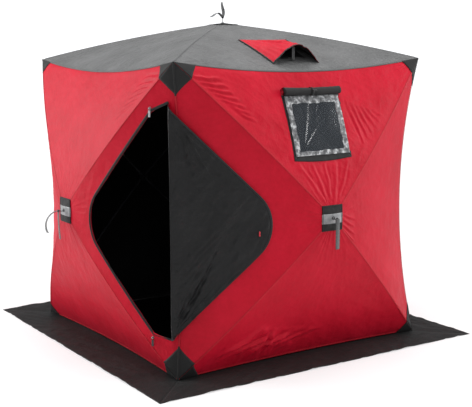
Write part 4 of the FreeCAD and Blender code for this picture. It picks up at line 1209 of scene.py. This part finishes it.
def vent():
    """The vent's hood, red cloth with a black inside held up at its mouth, and the netting under it."""
    i = np.linspace(0.0, 1.0, 61)[:, None]
    aside = np.linspace(-1.0, 1.0, 73)[None, :]
    out = VENT_BACK + (VENT_MOUTH - VENT_BACK) * i + 0.0 * aside
    a = VENT_MIDDLE + VENT_HALF * aside * (1.0 - 0.06 * i)
    arch = (1.0 - np.abs(aside) ** 2.0) ** 1.15
    folds = 0.010 * (0.5 - np.abs(aside * 1.2 + 0.25 - 0.35 * i) ** 0.9) * i * arch
    folds += fold(aside * 0.18, out, (-0.06, 0.50), (-0.015, 0.80), 0.010, 0.013)
    folds += fold(aside * 0.18, out, (0.08, 0.52), (0.02, 0.80), 0.010, 0.011)
    folds += 0.0030 * noise(aside * 5.0, out * 16.0, 95) + 0.0035 * crests(aside * 6.0, out * 10.0, 96)
    folds *= smooth_step(1.0 - np.abs(aside), 0.0, 0.14) * smooth_step(i, 0.0, 0.10)
    points = on_panel("roof", *find("roof", stack(a, out)))
    points[..., 2] += 0.0055 + VENT_RISE * 0.97 * i ** 1.15 * arch + folds
    points[..., 1] += 0.012 * (1.0 - aside ** 2) * i ** 3
    points = place("front", points)
    hood, binding, net = Cloth(), Cloth(), Cloth()
    hood.grid(points, stack(a, out))
    for edge, within, inset, width in ((points[-1], points[-4], 0.004, 0.012),
                                       (points[:, 0], points[:, 3], 0.002, 0.010),
                                       (points[:, -1], points[:, -4], 0.002, 0.010)):
        inward = unit(within - edge)
        lift = towards(unit(np.cross(unit(np.gradient(edge, axis=0)), inward)), UP)
        ribbon(binding, edge + inward * inset, inward, lift, width, 0.0014)

    hood = thick(orient(hood.object("vent_hood_cloth", RED, INSIDE), (0.0, 0.0, -20.0)), 0.0016, 1)
    binding = binding.object("vent_hood_binding", BLACK_SEAM)
    mouth, back = (place("front", over("roof", VENT_MIDDLE, out)) for out in (VENT_MOUTH, VENT_BACK))
    normal = towards(unit(np.cross(mouth - back, ACROSS)), UP)
    for piece, node in ((hood, "vent_hood"), (binding, None)):
        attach(piece, "root")
        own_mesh(piece)
        dress(piece, replaces=node)

    edge = 0.018
    box = (VENT_HOLE[0] - edge, VENT_HOLE[1] - edge, VENT_HOLE[2] + edge, VENT_HOLE[3] + edge)
    net.grid(*sheet_over("front", "roof", box, 20, lambda pair: 0.0030))
    dress(thick(orient(net.bent("vent_netting", "roof_hub", NETTING)), 0.0006), replaces="vent_mesh")


# ---------------------------------------------------------------- parts kept from the frame
FRAME_MATERIALS = (("_hub_pins", STEEL), ("_hub", NYLON), ("_pole_", GLASS_ROD), ("zip_slider", ZIP_METAL),
                   ("zip_pull_top", ZIP_METAL))


def finish_frame_parts():
    """Materials for the rigid parts that come straight from the CAD frame."""
    for name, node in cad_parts.items():
        if not node.hide_render:
            material = next((material for part, material in FRAME_MATERIALS if part in name), BLACK_PLASTIC)
            node.data.materials.clear()
            node.data.materials.append(material)


# ---------------------------------------------------------------- stage, light and camera
PAINTED_SHADE_HALF_WIDTH = 0.86               # half the width of the painted shade: the floor is painted near black where the cabin covers it
FLOOR_REACH = 30.0
GLOW_FROM, GLOW_FULL = 0.9, 3.0  # the floor's glow grows between these distances from the middle


def floor():
    """A pale floor that fades to white away from the cabin, with painted shade under it: near black where the
    cabin stands.
    """
    mesh = bpy.data.meshes.new("floor")
    corners = rectangle((-FLOOR_REACH, -FLOOR_REACH, FLOOR_REACH, FLOOR_REACH))
    mesh.from_pydata([(x, y, 0.0) for x, y in corners], [], [(0, 1, 2, 3)])
    made = bpy.data.objects.new("floor", mesh)
    bpy.context.scene.collection.objects.link(made)
    s = Shader("pale_floor")
    x, y, _ = s.split(s.place("Object"))
    haze = s.noise(s.place("Object"), 1.5, 3.0)
    pale = s.ramp(haze, [(0.3, (0.86, 0.86, 0.87)), (0.7, grey(0.90))])
    # painted shade: the floor is near black inside the cabin's footprint, where the cabin's shadow falls
    under = s.math("LESS_THAN", s.math("MAXIMUM", s.math("ABSOLUTE", x), s.math("ABSOLUTE", y)), PAINTED_SHADE_HALF_WIDTH)
    s.give({"Base Color": s.mix(under, pale, grey(0.004)), "Roughness": 0.8, "Specular IOR Level": 0.1})
    far = s.math("SQRT", s.math("MULTIPLY_ADD", x, x, s.math("MULTIPLY", y, y)))
    fade = s.node("ShaderNodeMapRange", {0: far, 1: GLOW_FROM, 2: GLOW_FULL, 3: 0.35, 4: 1.0},
                  interpolation_type="SMOOTHSTEP").outputs[0]
    seen = s.math("MULTIPLY", s.node("ShaderNodeLightPath", {}).outputs["Is Camera Ray"], fade)
    # no glow over the painted shade under the cabin
    seen = s.math("MULTIPLY", seen, s.math("SUBTRACT", 1.0, under))
    glow = s.node("ShaderNodeEmission", {1: 1.15}).outputs[0]
    blend = s.node("ShaderNodeMixShader", {0: seen, 1: s.surface.outputs[0], 2: glow})
    s.link(blend.outputs[0], s.nodes["Material Output"].inputs[0])
    mesh.materials.append(s.material)


def softbox(name, position, aim, size, power):
    light = bpy.data.lights.new(name, "AREA")
    light.shape = "RECTANGLE"
    light.size, light.size_y = size
    light.energy = power
    made = bpy.data.objects.new(name, light)
    made.location = position
    made.rotation_euler = (Vector(aim) - Vector(position)).to_track_quat("-Z", "Y").to_euler()
    bpy.context.scene.collection.objects.link(made)


def studio():
    floor()
    world = bpy.data.worlds.new("studio")
    bpy.context.scene.world = world
    world.use_nodes = True
    nodes, links = world.node_tree.nodes, world.node_tree.links
    back = nodes["Background"]
    back.inputs[0].default_value = (0.97, 0.98, 1.0, 1.0)
    strength = nodes.new("ShaderNodeMix")
    strength.inputs[2].default_value = 0.42
    strength.inputs[3].default_value = 1.25
    links.new(nodes.new("ShaderNodeLightPath").outputs["Is Camera Ray"], strength.inputs[0])
    links.new(strength.outputs[0], back.inputs[1])
    softbox("overhead", (0.0, -0.5, 5.5), (0, 0, 1.0), (5.0, 5.0), 250)
    softbox("right_softbox", (5.2, -3.4, 2.6), (0, 0, 0.9), (3.0, 3.5), 190)
    softbox("left_softbox", (-4.6, 3.6, 2.8), (0, 0, 1.0), (3.0, 3.5), 260)
    softbox("front_fill", (-3.0, -6.5, 3.2), (0, 0, 0.9), (4.0, 3.0), 55)


CAMERA_AZIMUTH, CAMERA_DOWN, CAMERA_ROLL = (math.radians(degrees) for degrees in (57.165, 8.769, 0.387))
CAMERA_AIM = (0.0, 0.0, 0.85)
CAMERA_DISTANCE = 6.768
LENS = 76.04695            # millimetres, on a sensor 36 mm wide
CAMERA_SHIFT = (0.0256992, -0.0077331)


def camera():
    """The viewpoint: low, to the front-left of the near corner."""
    made = bpy.data.cameras.new("camera")
    made.sensor_width = 36.0
    made.sensor_fit = "HORIZONTAL"
    made.lens = LENS
    made.shift_x, made.shift_y = CAMERA_SHIFT
    made.clip_end = 200.0
    flat_reach = math.cos(CAMERA_DOWN)
    view = Vector((flat_reach * math.cos(CAMERA_AZIMUTH), flat_reach * math.sin(CAMERA_AZIMUTH),
                   -math.sin(CAMERA_DOWN)))
    holder = bpy.data.objects.new("camera", made)
    holder.location = Vector(CAMERA_AIM) - view * CAMERA_DISTANCE
    holder.rotation_mode = "QUATERNION"
    holder.rotation_quaternion = Quaternion(view, CAMERA_ROLL) @ view.to_track_quat("-Z", "Y")
    bpy.context.scene.collection.objects.link(holder)
    bpy.context.scene.camera = holder


bpy.context.scene.view_settings.view_transform = "Standard"
camera()
studio()
for room in SIDES:
    wall(room)
roof()
for room in ROOMS:
    pole_seams(room)
    hub_patch(room)
    pull_strap(room)
for room in SIDES:
    corner_patches(room)
for room in SIDES:
    edge_bindings(room)
skirt()
door_fold(door_flap())
door_zip()
window_band()
window_film()
window_roll()
vent()
tie_back()
finish_frame_parts()
